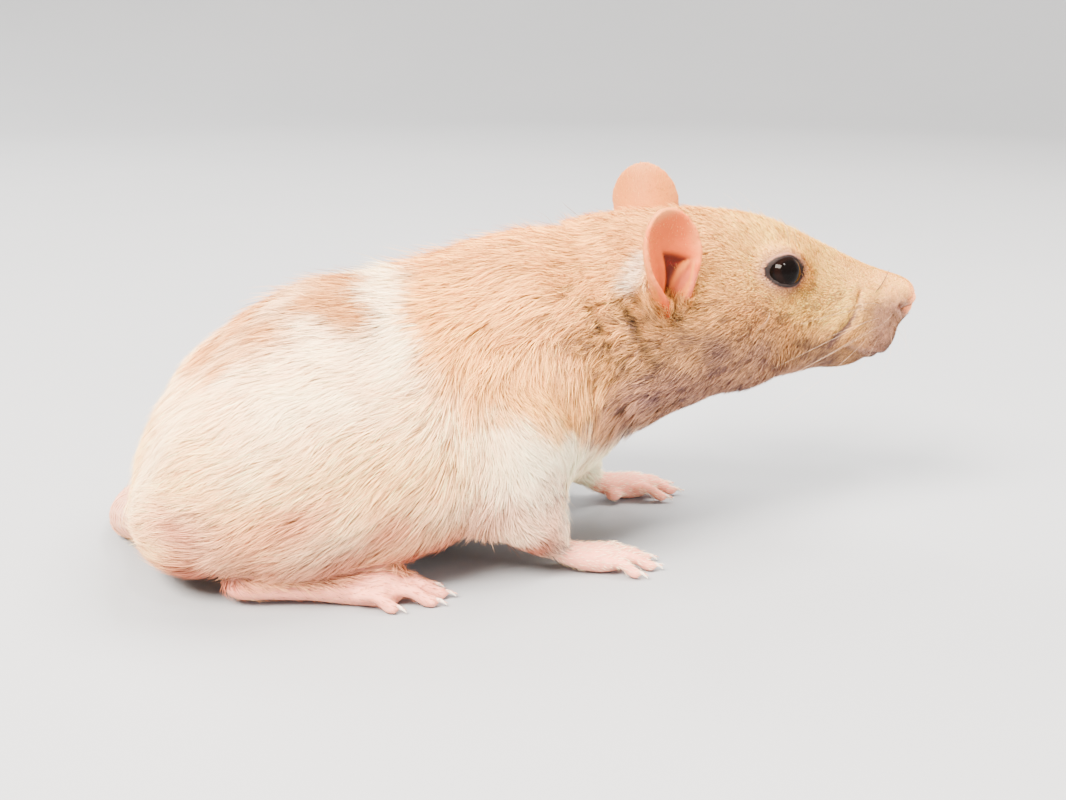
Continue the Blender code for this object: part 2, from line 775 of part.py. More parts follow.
def part_flesh(flesh, collection, cutters):
    """Parts the blended body into named nodes with thin cuts."""
    nodes = {}
    for side, line in FORELEG.items():
        regions = []
        for grow in (0.0, gap):
            centre, radii, turn = SHOULDER_REGION[side]
            stops = [(line[1][0], 5.6 + grow), (line[2][0], 8.0 + grow)]
            stops += [(point, radius + 1.8 + grow) for point, radius in line[3:]]
            end = Vector(line[-1][0]) + Vector((2.5, 0, -3.0))
            stops.append((tuple(end), line[-1][1] + 1.8 + grow))
            sizes = [r + grow for r in radii]
            shoulder = ellipsoid("shoulder", centre, sizes, turn, cutters, 28, 7, "Y")
            shin = tube("shin", stops, cutters, sides=14, steps=2)
            regions.append(fuse("leg_region", [shoulder, shin], cutters))
        leg = copy_of(flesh, f"foreleg_{side}", collection)
        boolean(leg, regions[0], "INTERSECT")
        wrist = half_space("wrist", Vector(WRIST[side]) - Vector((gap, 0, 0)), WRIST_FACE, cutters)
        boolean(leg, wrist, "DIFFERENCE")
        boolean(flesh, regions[1], "DIFFERENCE")
        nodes[leg.name] = keep_largest(leg)
        keep_largest(flesh)
        for tool in (*regions, wrist):
            bpy.data.objects.remove(tool)
    for side in ("right", "left"):
        centre, radii, turn = THIGH_REGION
        place = mirrored(centre, side)
        inner = ellipsoid("thigh_region", place, radii, turn, cutters, 32, 7, "Y")
        outer = ellipsoid("thigh_grown", place, [r + gap for r in radii], turn, cutters, 32, 7, "Y")
        thigh = copy_of(flesh, f"thigh_{side}", collection)
        boolean(thigh, inner, "INTERSECT")
        boolean(flesh, outer, "DIFFERENCE")
        nodes[thigh.name] = keep_largest(thigh)
        for tool in (inner, outer):
            bpy.data.objects.remove(tool)
    point, direction = HEAD_CUT
    ahead = half_space("head_side", point, direction, cutters)
    ahead_wide = half_space("head_side_wide", Vector(point) - Vector(direction) * gap, direction, cutters)
    head = copy_of(flesh, "head", collection)
    boolean(head, ahead, "INTERSECT")
    boolean(flesh, ahead_wide, "DIFFERENCE")
    nodes["head"] = keep_largest(head)
    point, direction = NECK_CUT
    ahead2 = half_space("neck_side", point, direction, cutters)
    ahead2_wide = half_space("neck_side_wide", Vector(point) - Vector(direction) * gap, direction, cutters)
    neck = copy_of(flesh, "neck", collection)
    boolean(neck, ahead2, "INTERSECT")
    boolean(flesh, ahead2_wide, "DIFFERENCE")
    nodes["neck"] = keep_largest(neck)
    flesh.name = "torso"
    nodes["torso"] = keep_largest(flesh)
    for tool in (ahead, ahead_wide, ahead2, ahead2_wide):
        bpy.data.objects.remove(tool)
    return nodes


def rest_on_floor(nodes, cutters):
    """Cuts the soles, pads and tail flat at floor level."""
    below = half_space("below_floor", (0, 0, 0), (0, 0, -1), cutters, 400.0)
    for node in nodes:
        lowest = min(v.co.z for v in node.data.vertices)
        if lowest < 0:
            boolean(node, below, "DIFFERENCE")
            keep_largest(node)
    bpy.data.objects.remove(below)


def centre_in_plan(nodes):
    """Moves the whole animal so that its box is centred over the origin."""
    corners = [v.co for node in nodes for v in node.data.vertices]
    middle_x = (min(c.x for c in corners) + max(c.x for c in corners)) / 2
    middle_y = (min(c.y for c in corners) + max(c.y for c in corners)) / 2
    for node in nodes:
        node.data.transform(Matrix.Translation((-middle_x, -middle_y, 0)))


def main():
    clear_scene()
    materials = make_materials()
    rat = new_collection("pet_rat")
    cutters = new_collection("cutters")
    cutters.hide_render = True

    flesh = make_flesh(rat)
    nodes = part_flesh(flesh, rat, cutters)

    ears = {side: ear_shell(f"ear_{side}", side, rat) for side in ("right", "left")}
    eyes = {side: make_eye(side, rat) for side in ("right", "left")}
    paws = {side: make_forepaw(side, rat) for side in ("right", "left")}
    feet = {side: make_hind_foot(side, rat) for side in ("right", "left")}
    tail = make_tail(rat)

    head = nodes["head"]
    for side in ("right", "left"):
        add_lids(head, side, cutters)
        seat = ear_shell("ear_seat", side, cutters, grow=gap)
        concha = ellipsoid("concha", *CONCHA, 0, cutters, 14, 10)
        concha.data.transform(ear_frame(side))
        for tool in (seat, concha):
            boolean(head, tool, "DIFFERENCE")
            bpy.data.objects.remove(tool)
        wrist = half_space("wrist", WRIST[side], WRIST_FACE, cutters)
        boolean(paws[side], wrist, "INTERSECT")
        bpy.data.objects.remove(wrist)
        seat = make_hind_foot(side, cutters, grow=gap)
        boolean(nodes["torso"], seat, "DIFFERENCE")
        boolean(nodes[f"thigh_{side}"], seat, "DIFFERENCE")
        bpy.data.objects.remove(seat)
    cut_mouth(head, cutters)

    root_rows = tail_rows()[:16]
    seat = loft(
        "tail_seat", tube_rings([r[0] for r in root_rows], [r[1] + gap for r in root_rows], 12), cutters
    )
    boolean(nodes["torso"], seat, "DIFFERENCE")
    bpy.data.objects.remove(seat)

    everything = [*nodes.values(), *ears.values(), *eyes.values(), *paws.values(), *feet.values(), *tail]
    for node in everything:
        keep_largest(node)
    rest_on_floor(everything, cutters)
    centre_in_plan(everything)

    finish = {"head": "fawn_coat", "neck": "fawn_coat", "eye": "eye", "ear": "pink_skin",
              "forepaw": "pink_skin", "hind": "pink_skin", "tail": "tail_skin"}
    for node in everything:
        key = finish.get(node.name.split("_")[0], "white_coat")
        node.data.materials.clear()
        node.data.materials.append(materials[key])
        node.data.shade_smooth()
        node.data.set_sharp_from_angle(angle=math.radians(50))


main()
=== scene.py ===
import math
import time

import bmesh
import bpy
import numpy as np
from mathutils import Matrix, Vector
from mathutils.bvhtree import BVHTree


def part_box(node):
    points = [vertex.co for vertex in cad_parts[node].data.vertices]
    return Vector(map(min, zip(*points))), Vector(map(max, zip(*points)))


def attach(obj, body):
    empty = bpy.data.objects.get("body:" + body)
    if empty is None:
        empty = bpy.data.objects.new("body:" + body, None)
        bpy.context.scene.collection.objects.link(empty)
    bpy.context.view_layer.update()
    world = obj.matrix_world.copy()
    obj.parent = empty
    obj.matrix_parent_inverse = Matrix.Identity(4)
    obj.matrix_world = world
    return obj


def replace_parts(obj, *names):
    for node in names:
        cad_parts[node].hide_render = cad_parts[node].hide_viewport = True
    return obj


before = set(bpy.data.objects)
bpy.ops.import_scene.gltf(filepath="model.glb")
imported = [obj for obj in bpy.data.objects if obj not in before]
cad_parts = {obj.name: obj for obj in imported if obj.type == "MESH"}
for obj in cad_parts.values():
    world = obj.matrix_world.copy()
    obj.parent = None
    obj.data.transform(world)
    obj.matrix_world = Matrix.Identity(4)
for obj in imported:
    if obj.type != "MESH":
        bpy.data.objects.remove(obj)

startTime = time.time()
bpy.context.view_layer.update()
mm = 0.001
bothSides = (-1, 1)    # the rat's right, then its left

# Everything below is worked out in the rat's own frame: millimetres, nose towards +X,
# its left side towards +Y, the floor at Z = 0. The right eye says how far the part is moved from it.
eyeCentre = np.array([38.4, 8.5, 45.7])
eyeLow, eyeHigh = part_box("eye_right")
homeShift = np.array((eyeLow + eyeHigh) / 2) / mm - eyeCentre * (1, -1, 1)
homeShift[2] = 0.0


def say(words):
    print("[%5.1f s] %s" % (time.time() - startTime, words))


def toPart(points):
    return (np.asarray(points, float) + homeShift) * mm


def toRat(points):
    return np.asarray(points, float) / mm - homeShift


def sizeOf(vectors):
    return np.linalg.norm(vectors, axis=-1)


def unit(vectors):
    vectors = np.asarray(vectors, float)
    return vectors / np.maximum(np.linalg.norm(vectors, axis=-1, keepdims=True), 1e-9)


def ease(low, high, x):
    # 0 at low, 1 at high, smooth between
    t = np.clip((x - low) / (high - low), 0.0, 1.0)
    return t * t * (3 - 2 * t)


def hill(x, centre, width):
    return np.exp(-(((x - centre) / width) ** 2))


def blend(a, b, share):
    return a + (b - a) * (share[:, None] if np.ndim(a) + np.ndim(b) > 1 and np.ndim(share) == 1 else share)


def stacked(x, *parts):
    # One vector for each number in x, from numbers or arrays
    return np.stack([0 * x + part for part in parts], axis=1)


def along(vectors, normals):
    # The part of each vector that lies in the surface
    return vectors - normals * (vectors * normals).sum(1, keepdims=True)


def ripple(points, size, seed, waves=14):
    # Smooth noise from about -1 to 1, whose patches are about size mm across
    rng = np.random.default_rng(seed)
    total = np.zeros(len(points))
    for _ in range(waves):
        direction = unit(rng.normal(size=3)) * rng.uniform(0.6, 1.4) * math.pi / size
        total += np.sin(points @ direction + rng.uniform(0, 2 * math.pi))
    return total * math.sqrt(1.2 / waves)


def patches(points, middle, swing, size, seed):
    # Noise from 0 to 1 about a middle value
    return np.clip(middle + swing * ripple(points, size, seed), 0, 1)


hashPrimes = (73856093, 19349663, 83492791)
jitterPrimes = (2654435761, 40503271, 97531357)


def cellCentres(points, size, seed):
    # For each point the nearest of a jittered grid of centres, and a number from 0 to 1 that is its own
    scaled = points / size
    home = np.floor(scaled).astype(np.int64)
    best = np.full(len(points), 1e9)
    centre = np.zeros_like(points)
    own = np.zeros(len(points))
    for step in np.ndindex(3, 3, 3):
        cell = home + (np.array(step) - 1)
        x, y, z = (cell * hashPrimes).T
        key = x ^ y ^ z ^ seed
        jitter = np.stack([((key * prime) >> 7 & 1023) / 1023.0 for prime in jitterPrimes], axis=1)
        spot = cell + 0.1 + 0.8 * jitter
        gapSquared = ((spot - scaled) ** 2).sum(1)
        closer = gapSquared < best
        best[closer] = gapSquared[closer]
        centre[closer] = spot[closer]
        own[closer] = (jitter[closer] @ (0.37, 0.71, 0.53)) % 1.0
    return centre * size, own


def fromLine(points, line, side=1):
    # Distance from each point to a line of the left side or its mirror image, and the place along it
    line = np.asarray(line, float) * (1, side, 1)
    nearest = np.full(len(points), 1e9)
    share = np.zeros(len(points))
    count = len(line) - 1
    for k in range(count):
        step = line[k + 1] - line[k]
        t = np.clip((points - line[k]) @ step / (step @ step), 0, 1)
        gap = sizeOf(points - line[k] - t[:, None] * step)
        closer = gap < nearest
        nearest = np.where(closer, gap, nearest)
        share = np.where(closer, (k + t) / count, share)
    return nearest, share


def fromLines(points, line):
    # Distance to the nearer of a line and its mirror image
    return np.minimum(*(fromLine(points, line, side)[0] for side in bothSides))


def fromEyes(points):
    return np.minimum(*(sizeOf(points - eyeCentre * (1, side, 1)) for side in bothSides))


def added(obj):
    bpy.context.scene.collection.objects.link(obj)
    return obj


def evaluated(obj):
    # The mesh with its modifiers applied, from an object that is then removed
    mesh = bpy.data.meshes.new_from_object(obj.evaluated_get(bpy.context.evaluated_depsgraph_get()))
    bpy.data.objects.remove(obj)
    return mesh


def meshFrom(name, points, faces):
    # A mesh whose faces all have the same number of corners
    mesh = bpy.data.meshes.new(name)
    faces = np.asarray(faces, np.int32)
    mesh.vertices.add(len(points))
    mesh.vertices.foreach_set("co", toPart(points).astype(np.float32).ravel())
    mesh.loops.add(faces.size)
    mesh.loops.foreach_set("vertex_index", faces.ravel())
    mesh.polygons.add(len(faces))
    mesh.polygons.foreach_set("loop_start", np.arange(0, faces.size, faces.shape[1], dtype=np.int32))
    mesh.polygons.foreach_set("use_smooth", np.full(len(faces), True))
    mesh.update(calc_edges=True)
    return mesh


def cornersOf(mesh):
    corners = np.empty(len(mesh.loops), np.int32)
    mesh.loops.foreach_get("vertex_index", corners)
    return corners


def addColour(mesh, name, colours):
    layer = mesh.attributes.new(name, "FLOAT_COLOR", "POINT")
    full = np.ones((len(colours), 4), np.float32)
    full[:, :3] = colours
    layer.data.foreach_set("color", full.ravel())


def addNumber(mesh, name, values):
    layer = mesh.attributes.new(name, "FLOAT", "POINT")
    layer.data.foreach_set("value", np.asarray(values, np.float32))


def addMap(mesh, name, places):
    # A UV map from one place per vertex
    layer = mesh.uv_layers.new(name=name)
    layer.data.foreach_set("uv", np.asarray(places, np.float32)[cornersOf(mesh)].ravel())


def placed(name, mesh, finish, slotName):
    obj = added(bpy.data.objects.new(name, mesh))
    mesh.materials.append(finish)
    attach(obj, "root")
    return obj


class Tie:
    # A socket of a finish. Sums on it add Math nodes

    def __init__(self, finish, socket):
        self.finish, self.socket = finish, socket

    def sum(self, operation, *values):
        return self.finish.node("Math", {"operation": operation}, dict(enumerate(values)))

    def __add__(self, other):
        return self.sum("ADD", self, other)

    def __radd__(self, other):
        return self.sum("ADD", other, self)

    def __sub__(self, other):
        return self.sum("SUBTRACT", self, other)

    def __rsub__(self, other):
        return self.sum("SUBTRACT", other, self)

    def __mul__(self, other):
        return self.sum("MULTIPLY", self, other)

    __rmul__ = __mul__

    def __truediv__(self, other):
        return self.sum("DIVIDE", self, other)

    def between(self, low, high):
        # 0 below low, 1 above high, smooth between
        return self.finish.node("MapRange", {"interpolation_type": "SMOOTHSTEP"}, {0: self, 1: low, 2: high})


class Finish:
    # A material that is built from expressions

    def __init__(self, name):
        self.material = bpy.data.materials.new(name)
        self.material.use_nodes = True
        self.tree = self.material.node_tree
        self.shader = self.tree.nodes["Principled BSDF"]

    def node(self, kind, settings=None, sockets=None, out=0):
        made = self.tree.nodes.new("ShaderNode" + kind)
        for key, value in (settings or {}).items():
            setattr(made, key, value)
        for key, value in (sockets or {}).items():
            self.feed(made.inputs[key], value)
        return Tie(self, made.outputs[out])

    def feed(self, socket, value):
        if isinstance(value, Tie):
            self.tree.links.new(value.socket, socket)
        else:
            socket.default_value = value

    def wear(self, **values):
        # Feeds the shader's own sockets and gives the material
        for key, value in values.items():
            self.feed(self.shader.inputs[key.replace("_", " ")], value)
        return self.material

    def place(self):
        return self.node("TexCoord", out=3)

    def stored(self, name, out=0):
        return self.node("Attribute", {"attribute_name": name}, out=out)

    def noise(self, size, detail=3.0):
        # Noise whose patches are about size mm across
        sockets = {"Vector": self.place(), "Scale": 1 / (size * mm), "Detail": detail, "Roughness": 0.55}
        return self.node("TexNoise", None, sockets)

    def mix(self, kind, share, first, second):
        settings = {"data_type": "RGBA", "blend_type": kind}
        return self.node("Mix", settings, {0: share, 6: first, 7: second}, out=2)

    def bumps(self, height, strength, distance):
        return self.node("Bump", None, {"Strength": strength, "Distance": distance * mm, "Height": height})


skinSizes = {
    "voxel": 0.32,        # mm, how fine the joined skin is before it is thinned
    "close": 0.36,        # how far each node swells so that the gaps between nodes close
    "rounds": 60,         # rounds of smoothing
    "bodyEase": 0.85,     # share of each round that the body gets
    "headEase": 0.2,
    "bareEase": 0.045,    # ears, feet and tail
    "triangles": 186000,
}
fleshNodes = [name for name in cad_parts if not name.startswith("eye_")]
bareZones = ("ear", "forepaw", "hind_foot", "tail")
coatedZones = ("head", "neck", "torso", "thigh", "foreleg")


def edgesOf(faces):
    return np.stack([faces.ravel(), np.roll(faces, -1, axis=1).ravel()], axis=1)


class Sheet:
    # A surface as arrays, with what its points need to know of their neighbours

    def __init__(self, points, faces):
        self.points, self.faces = points, faces
        ends = np.unique(np.sort(edgesOf(faces), axis=1), axis=0)
        self.first, self.second = ends[:, 0], ends[:, 1]
        self.degree = np.maximum(np.bincount(ends.ravel(), minlength=len(points)), 1)

    def around(self, values):
        # The mean of each point's neighbours
        flat = values.reshape(len(values), -1)
        total = np.empty_like(flat)
        for k, column in enumerate(flat.T):
            total[:, k] = np.bincount(self.first, column[self.second], len(flat))
            total[:, k] += np.bincount(self.second, column[self.first], len(flat))
        return (total / self.degree[:, None]).reshape(values.shape)

    def spread(self, values, rounds):
        for _ in range(rounds):
            values = 0.5 * values + 0.5 * self.around(values)
        return values

    def smooth(self, share):
        self.points = self.points + (self.around(self.points) - self.points) * share

    def normals(self):
        p, f = self.points, self.faces
        across = np.cross(p[f[:, -2]] - p[f[:, 0]], p[f[:, -1]] - p[f[:, -3]])
        total = np.zeros_like(p)
        for corner in f.T:
            for k in range(3):
                total[:, k] += np.bincount(corner, across[:, k], len(p))
        return unit(total)

    def tree(self):
        return BVHTree.FromPolygons(self.points.tolist(), self.faces.tolist())


def fleshCopies():
    # The CAD flesh as loose arrays, a little swollen so that neighbours run into each other
    points, faces, labels, total = [], [], [], 0
    # The eyeballs go in too and fill their sockets, so that the lids can be shaped over them
    for index, name in enumerate(fleshNodes + ["eye_right", "eye_left"]):
        bm = bmesh.new()
        bm.from_mesh(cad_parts[name].data)
        bmesh.ops.remove_doubles(bm, verts=bm.verts, dist=1e-6)
        bmesh.ops.triangulate(bm, faces=bm.faces)
        bm.normal_update()
        swell = 0.0 if name.startswith(("ear", "forepaw", "hind_foot")) else skinSizes["close"] * mm
        for v in bm.verts:
            v.co += v.normal * swell
        points.append(toRat([v.co for v in bm.verts]))
        faces.append(np.array([[v.index for v in f.verts] for f in bm.faces]) + total)
        labels.append(np.full(len(faces[-1]), index))
        total += len(bm.verts)
        bm.free()
    return Sheet(np.concatenate(points), np.concatenate(faces)), np.concatenate(labels)


def worked(points, faces, kind, settings, weights=None):
    # The points and faces after one modifier
    obj = added(bpy.data.objects.new("rough", meshFrom("rough", points, faces)))
    modifier = obj.modifiers.new("work", kind)
    if weights is not None:
        group = obj.vertex_groups.new(name="work")
        steps = np.round(weights * 20).astype(int)
        for step in np.unique(steps):
            group.add(np.nonzero(steps == step)[0].tolist(), step / 20, "REPLACE")
        modifier.vertex_group = "work"
    for key, value in settings.items():
        setattr(modifier, key, value)
    mesh = evaluated(obj)
    found = np.empty(len(mesh.vertices) * 3, np.float32)
    mesh.vertices.foreach_get("co", found)
    faces = cornersOf(mesh).reshape(len(mesh.polygons), -1)
    bpy.data.meshes.remove(mesh)
    return toRat(found.reshape(-1, 3)), faces


def largestIsland(points, faces):
    # Drops the walls that the remesh leaves inside, and loose scraps
    root = np.arange(len(points))
    ends = edgesOf(faces)
    settled = False
    while not settled:
        before = root.copy()
        low = root[ends].min(axis=1)
        for column in ends.T:
            np.minimum.at(root, column, low)
        root = root[root]
        settled = (root == before).all()
    keep = root == np.bincount(root).argmax()
    index = np.cumsum(keep) - 1
    return points[keep], index[faces[keep[faces[:, 0]]]]


rough, roughLabels = fleshCopies()
cadTree = rough.tree()


def zonesOf(sheet, rounds):
    # How far each point belongs to each kind of node, from 0 to 1
    nearest = np.array([cadTree.find_nearest(p)[2] for p in sheet.points.tolist()])
    label = np.minimum(roughLabels[nearest], len(fleshNodes))
    zones = {}
    for key in bareZones + coatedZones:
        wanted = [i for i, name in enumerate(fleshNodes + ["head"]) if name.startswith(key)]
        zones[key] = sheet.spread(np.isin(label, wanted).astype(float), rounds)
    zones["feet"] = zones["forepaw"] + zones["hind_foot"]
    zones["bare"] = np.clip(sum(zones[key] for key in bareZones), 0, 1)
    return zones


voxelSettings = {"mode": "VOXEL", "voxel_size": skinSizes["voxel"] * mm, "adaptivity": 0.0}
skin = Sheet(*largestIsland(*worked(rough.points, rough.faces, "REMESH", voxelSettings)))
say("skin joined from %d nodes, %d quads" % (len(fleshNodes), len(skin.faces)))
zone = zonesOf(skin, 12)
share = skinSizes["bodyEase"] * (1 - zone["bare"]) * (1 - zone["head"])
share = share + skinSizes["headEase"] * zone["head"] + skinSizes["bareEase"] * zone["bare"]
for _ in range(skinSizes["rounds"]):
    skin.smooth(share[:, None])
say("facets eased away")

# How deep the coat is over each part of the body, in mm
coatDepth = {
    "torso": 2.0, "neck": 1.9, "thigh": 1.9, "foreleg": 1.2, "head": 1.0, "muzzle": 0.18, "wrist": 0.3,
}
noseTip = np.array([64.9, 0.0, 38.6])


def snapped(line, tree):
    # The places on a surface nearest to a line's points
    return [tuple(tree.find_nearest(place)[0]) for place in line]


# Lines of the face on its left side, mirrored for the right
mouthLine = ((52.0, 7.6, 31.9), (54.5, 6.8, 30.4), (57.0, 5.1, 29.9), (59.2, 2.8, 30.4), (60.3, 0.0, 31.0))
splitLine = ((60.6, 0.0, 31.2), (62.1, 0.0, 33.4), (64.2, 0.0, 36.0), (65.3, 0.0, 38.0))
nostrilLine = ((64.3, 1.3, 38.1), (63.4, 2.5, 37.3), (62.1, 3.3, 37.2), (60.9, 3.9, 38.2))
padCrease = snapped(((53.4, 7.0, 41.6), (52.6, 7.4, 39.4), (51.2, 8.0, 36.6), (48.6, 8.6, 33.2)), cadTree)
lipCrease = snapped(((60.4, 4.2, 38.0), (58.6, 5.4, 35.2), (56.0, 6.6, 32.8)), cadTree)
faceFolds = (    # line, then height, distance from it and width in mm of the fold along it
    (mouthLine, ((-0.75, 0, 0.42), (0.22, 1.1, 0.6))),
    (nostrilLine, ((-1.15, 0, 0.5), (0.26, 1.15, 0.5))),
    (padCrease, ((-0.5, 0, 0.55), (0.2, 1.5, 1.0))),
    (lipCrease, ((-0.2, 0, 0.7),)),
)
faceMounds = (    # height, middle and reach of the nose's lobes and of the whisker pads
    (0.45, (62.6, 1.6, 40.4), (2.2, 1.9, 2.2)),
    (0.35, (58.2, 4.6, 34.2), (3.4, 3.0, 3.6)),
)


def depthOfCoat(points, zones):
    muzzle = ease(45.0, 60.0, points[:, 0])
    depth = zones["head"] * (coatDepth["head"] + (coatDepth["muzzle"] - coatDepth["head"]) * muzzle)
    for key in ("torso", "neck", "thigh"):
        depth = depth + zones[key] * coatDepth[key]
    wrist = (coatDepth["wrist"] - coatDepth["foreleg"]) * ease(14.0, 5.0, points[:, 2])
    depth = depth + zones["foreleg"] * (coatDepth["foreleg"] + wrist)
    return depth * ease(3.0, 6.5, fromEyes(points)) * ease(1.5, 4.5, sizeOf(points - noseTip))


def sculpt(points, zones):
    # How far each point of the face moves along its normal
    move = np.zeros(len(points))
    for side in bothSides:
        for line, folds in faceFolds:
            gap, _ = fromLine(points, line, side)
            for height, distance, width in folds:
                move += height * hill(gap, distance, width)
        for height, middle, reach in faceMounds:
            move += height * hill(sizeOf((points - np.array(middle) * (1, side, 1)) / reach), 0, 1)
    split, _ = fromLine(points, splitLine)
    return (move - 0.5 * hill(split, 0, 0.38)) * zones["head"]


normals = skin.normals()
inward = skinSizes["close"] * (1 - zone["ear"] - zone["forepaw"] - zone["hind_foot"])
inward = skin.spread(depthOfCoat(skin.points, zone) + inward, 6)
skin.points = skin.points - normals * inward[:, None] + normals * sculpt(skin.points, zone)[:, None]

# Lids: the opening of the eye in the eye's own frame, long axis along Y
lidSizes = {
    "radius": 3.1,        # the eyeball
    "halfLong": 3.05,
    "halfHigh": 2.12,
    "front": 0.75,        # how far each corner is drawn out
    "back": 0.4,
    "wall": 0.16,         # the lid stands this far off the eyeball at its margin
    "margin": 0.06,       # and this much further at its edge
    "tuck": 0.75,         # how far the skin dips behind the eyeball's face inside the opening
    "reach": 5.2,         # the skin is fitted to the eye out to here
}


def eyeFrame(side):
    # The eye's middle, then as rows the way it looks, across and up
    ahead = unit((0.24, 0.93 * side, 0.28))
    up = np.array((0.0, 0.0, 1.0))
    up = unit(up - ahead * (up @ ahead))
    return eyeCentre * (1, side, 1), np.stack([ahead, np.cross(up, ahead), up])


eyeFrames = {side: eyeFrame(side) for side in bothSides}


def lidEdge(local, side):
    # How far a place in the eye's frame lies outside the opening of the lids
    _, across, up = local.T
    angle = np.arctan2(up, across)
    ahead = -side * np.cos(angle)
    corner = lidSizes["front"] * np.clip(ahead, 0, 1) ** 8 + lidSizes["back"] * np.clip(-ahead, 0, 1) ** 8
    long, high = np.cos(angle) / (lidSizes["halfLong"] + corner), np.sin(angle) / lidSizes["halfHigh"]
    return np.hypot(across, up) - 1 / np.sqrt(long**2 + high**2)


def nearEye(points, side, reach):
    # Which points lie round an eye, and their places in its frame
    centre, axes = eyeFrames[side]
    local = (points - centre) @ axes.T
    near = (sizeOf(local) < reach) & (local[:, 0] > 0)
    return near, local[near]


def fromLids(points):
    # How far each place lies outside the nearer opening, and 9 far from both
    gap = np.full(len(points), 9.0)
    for side in bothSides:
        near, local = nearEye(points, side, lidSizes["reach"] + 1)
        gap[near] = lidEdge(local, side)
    return gap


def fitLids(points):
    # Lays the skin round each eye over the eyeball, with a raised margin and pointed corners
    points = points.copy()
    rim = np.zeros(len(points))
    for side in bothSides:
        near, local = nearEye(points, side, lidSizes["reach"])
        radius = sizeOf(local)
        off = lidEdge(local, side)
        wanted = lidSizes["radius"] + lidSizes["wall"] + lidSizes["margin"] * hill(off, 0.3, 0.25)
        wanted = wanted - lidSizes["tuck"] * ease(0.12, -0.3, off)
        share = ease(1.4, 0.1, off) * ease(lidSizes["reach"], 3.6, radius)
        centre, axes = eyeFrames[side]
        points[near] = (local * (1 + share * (wanted / radius - 1))[:, None]) @ axes + centre
        rim[near] = np.maximum(rim[near], ease(0.66, 0.42, off) * ease(5.0, 4.2, radius))
    return points, rim


skin.points, _ = fitLids(skin.points)
skin.smooth(0.3)
say("face sculpted")

earPlaces = {
    -1: {"root": (17.7, -12.2, 43.2), "up": (-0.10, -0.30, 0.95), "facing": (0.50, -0.85, -0.12)},
    1: {"root": (21.1, 12.2, 45.1), "up": (0.03, 0.24, 0.96), "facing": (0.42, 0.90, -0.12)},
}
earSizes = {
    "length": 18.4,
    "sunk": 0.15,         # share of its length below its root
    "floor": 0.24,        # up the ear, where the hollow closes to a slit
    "shelf": 0.57,        # up the ear, its upper edge
    "foot": 1.1,          # how far forward the middle of its foot is, in mm
    "lean": 1.5,          # and the middle of its shelf beyond that
    "slit": 0.3,          # half its width at the foot
    "half": 1.7,          # and how much that grows to the shelf
    "deep": 0.6,
    "ridge": 0.4,         # height of the folds round it
}


def earAxes(side):
    # Origin, then rows: the way the cup faces, across, and up the ear
    up = unit(earPlaces[side]["up"])
    facing = np.array(earPlaces[side]["facing"])
    facing = unit(facing - up * (facing @ up))
    return np.array(earPlaces[side]["root"]), np.stack([facing, np.cross(up, facing), up])


def onEar(points, normals, zones, side):
    # Share of this ear, share of its cup, distance from its hollow's edge, place up it, place forward
    origin, axes = earAxes(side)
    local = (points - origin) @ axes.T
    up = local[:, 2] / earSizes["length"] + earSizes["sunk"]
    front = -side * local[:, 1]
    rise = np.clip((up - earSizes["floor"]) / (earSizes["shelf"] - earSizes["floor"]), 0, 1)
    edge = np.abs(front - earSizes["foot"] - earSizes["lean"] * rise)
    edge = edge - (earSizes["slit"] + earSizes["half"] * rise**1.6)
    top = 0.4 * (up - earSizes["shelf"] + 0.022 * front)
    beyond = np.maximum(edge, np.maximum(top, earSizes["floor"] - 0.10 - up) * earSizes["length"])
    own = zones["ear"] * (np.sign(points[:, 1]) == side)
    return own, ease(-0.1, 0.4, normals @ axes[0]), beyond, up, front


def foldEars(points, normals, zones):
    # Sinks the hollow, and raises the folds behind it and in front of it
    move = np.zeros(len(points))
    for side in bothSides:
        own, cup, beyond, up, _ = onEar(points, normals, zones, side)
        ridge = hill(beyond, 0.75, 0.6) * (1 - 0.55 * ease(0.46, 0.52, up))
        ridge = ridge * ease(0.72, 0.56, up) * ease(0.1, 0.25, up)
        move += cup * own * (earSizes["ridge"] * ridge - earSizes["deep"] * ease(0.3, -0.6, beyond))
    return move


def thinned(sheet, zones):
    # Fewer triangles where the coat hides the skin, and fine ones on the face, ears and feet
    halves = np.concatenate([sheet.faces[:, [0, 1, 2]], sheet.faces[:, [0, 2, 3]]])
    keepFine = np.clip(zones["bare"] + 0.9 * zones["head"] - 0.8 * zones["tail"], 0, 1)
    settings = {
        "ratio": skinSizes["triangles"] / len(halves),
        "vertex_group_factor": 1e-6,
        "invert_vertex_group": True,
    }
    return Sheet(*worked(sheet.points, halves, "DECIMATE", settings, keepFine))


skin = thinned(skin, zone)
zone = zonesOf(skin, 3)
normals = skin.normals()
skin.points = skin.points + normals * foldEars(skin.points, normals, zone)[:, None]
normals = skin.normals()
skinTree = skin.tree()
say("skin thinned to %d triangles" % len(skin.faces))

coatTones = {
    "hood": (0.70, 0.335, 0.085),
    "hoodDark": (0.50, 0.245, 0.10),
    # painted light: the top of the head and snout, lighter as lit from above
    "brow": (0.95, 0.54, 0.12),
    # painted shade: the cheeks, darker and greyer where the head's side turns down from the light
    "cheek": (0.175, 0.094, 0.073),
    # painted shade: the throat under the head
    "throatShade": (0.36, 0.18, 0.115),
    "white": (0.97, 0.79, 0.545),
    "blush": (0.97, 0.50, 0.20),
    "stripe": (0.45, 0.205, 0.066),
    # pink skin through the thin belly coat, darkened and reddened as painted shade and painted reddish
    # reflected light
    "flesh": (0.46, 0.145, 0.082),
    "muzzle": (0.20, 0.10, 0.074),
    # painted shade in the crease behind the whisker pad and along the mouth
    "crease": (0.13, 0.07, 0.065),
    "tuft": (0.95, 0.80, 0.62),
    "lid": (0.50, 0.25, 0.105),
}

skinCrease, skinMouth = snapped(padCrease, skinTree), snapped(mouthLine, skinTree)
tuftLine = snapped(((16.3, 10.5, 48.8), (14.8, 11.5, 47.0), (13.6, 12.3, 45.2)), skinTree)

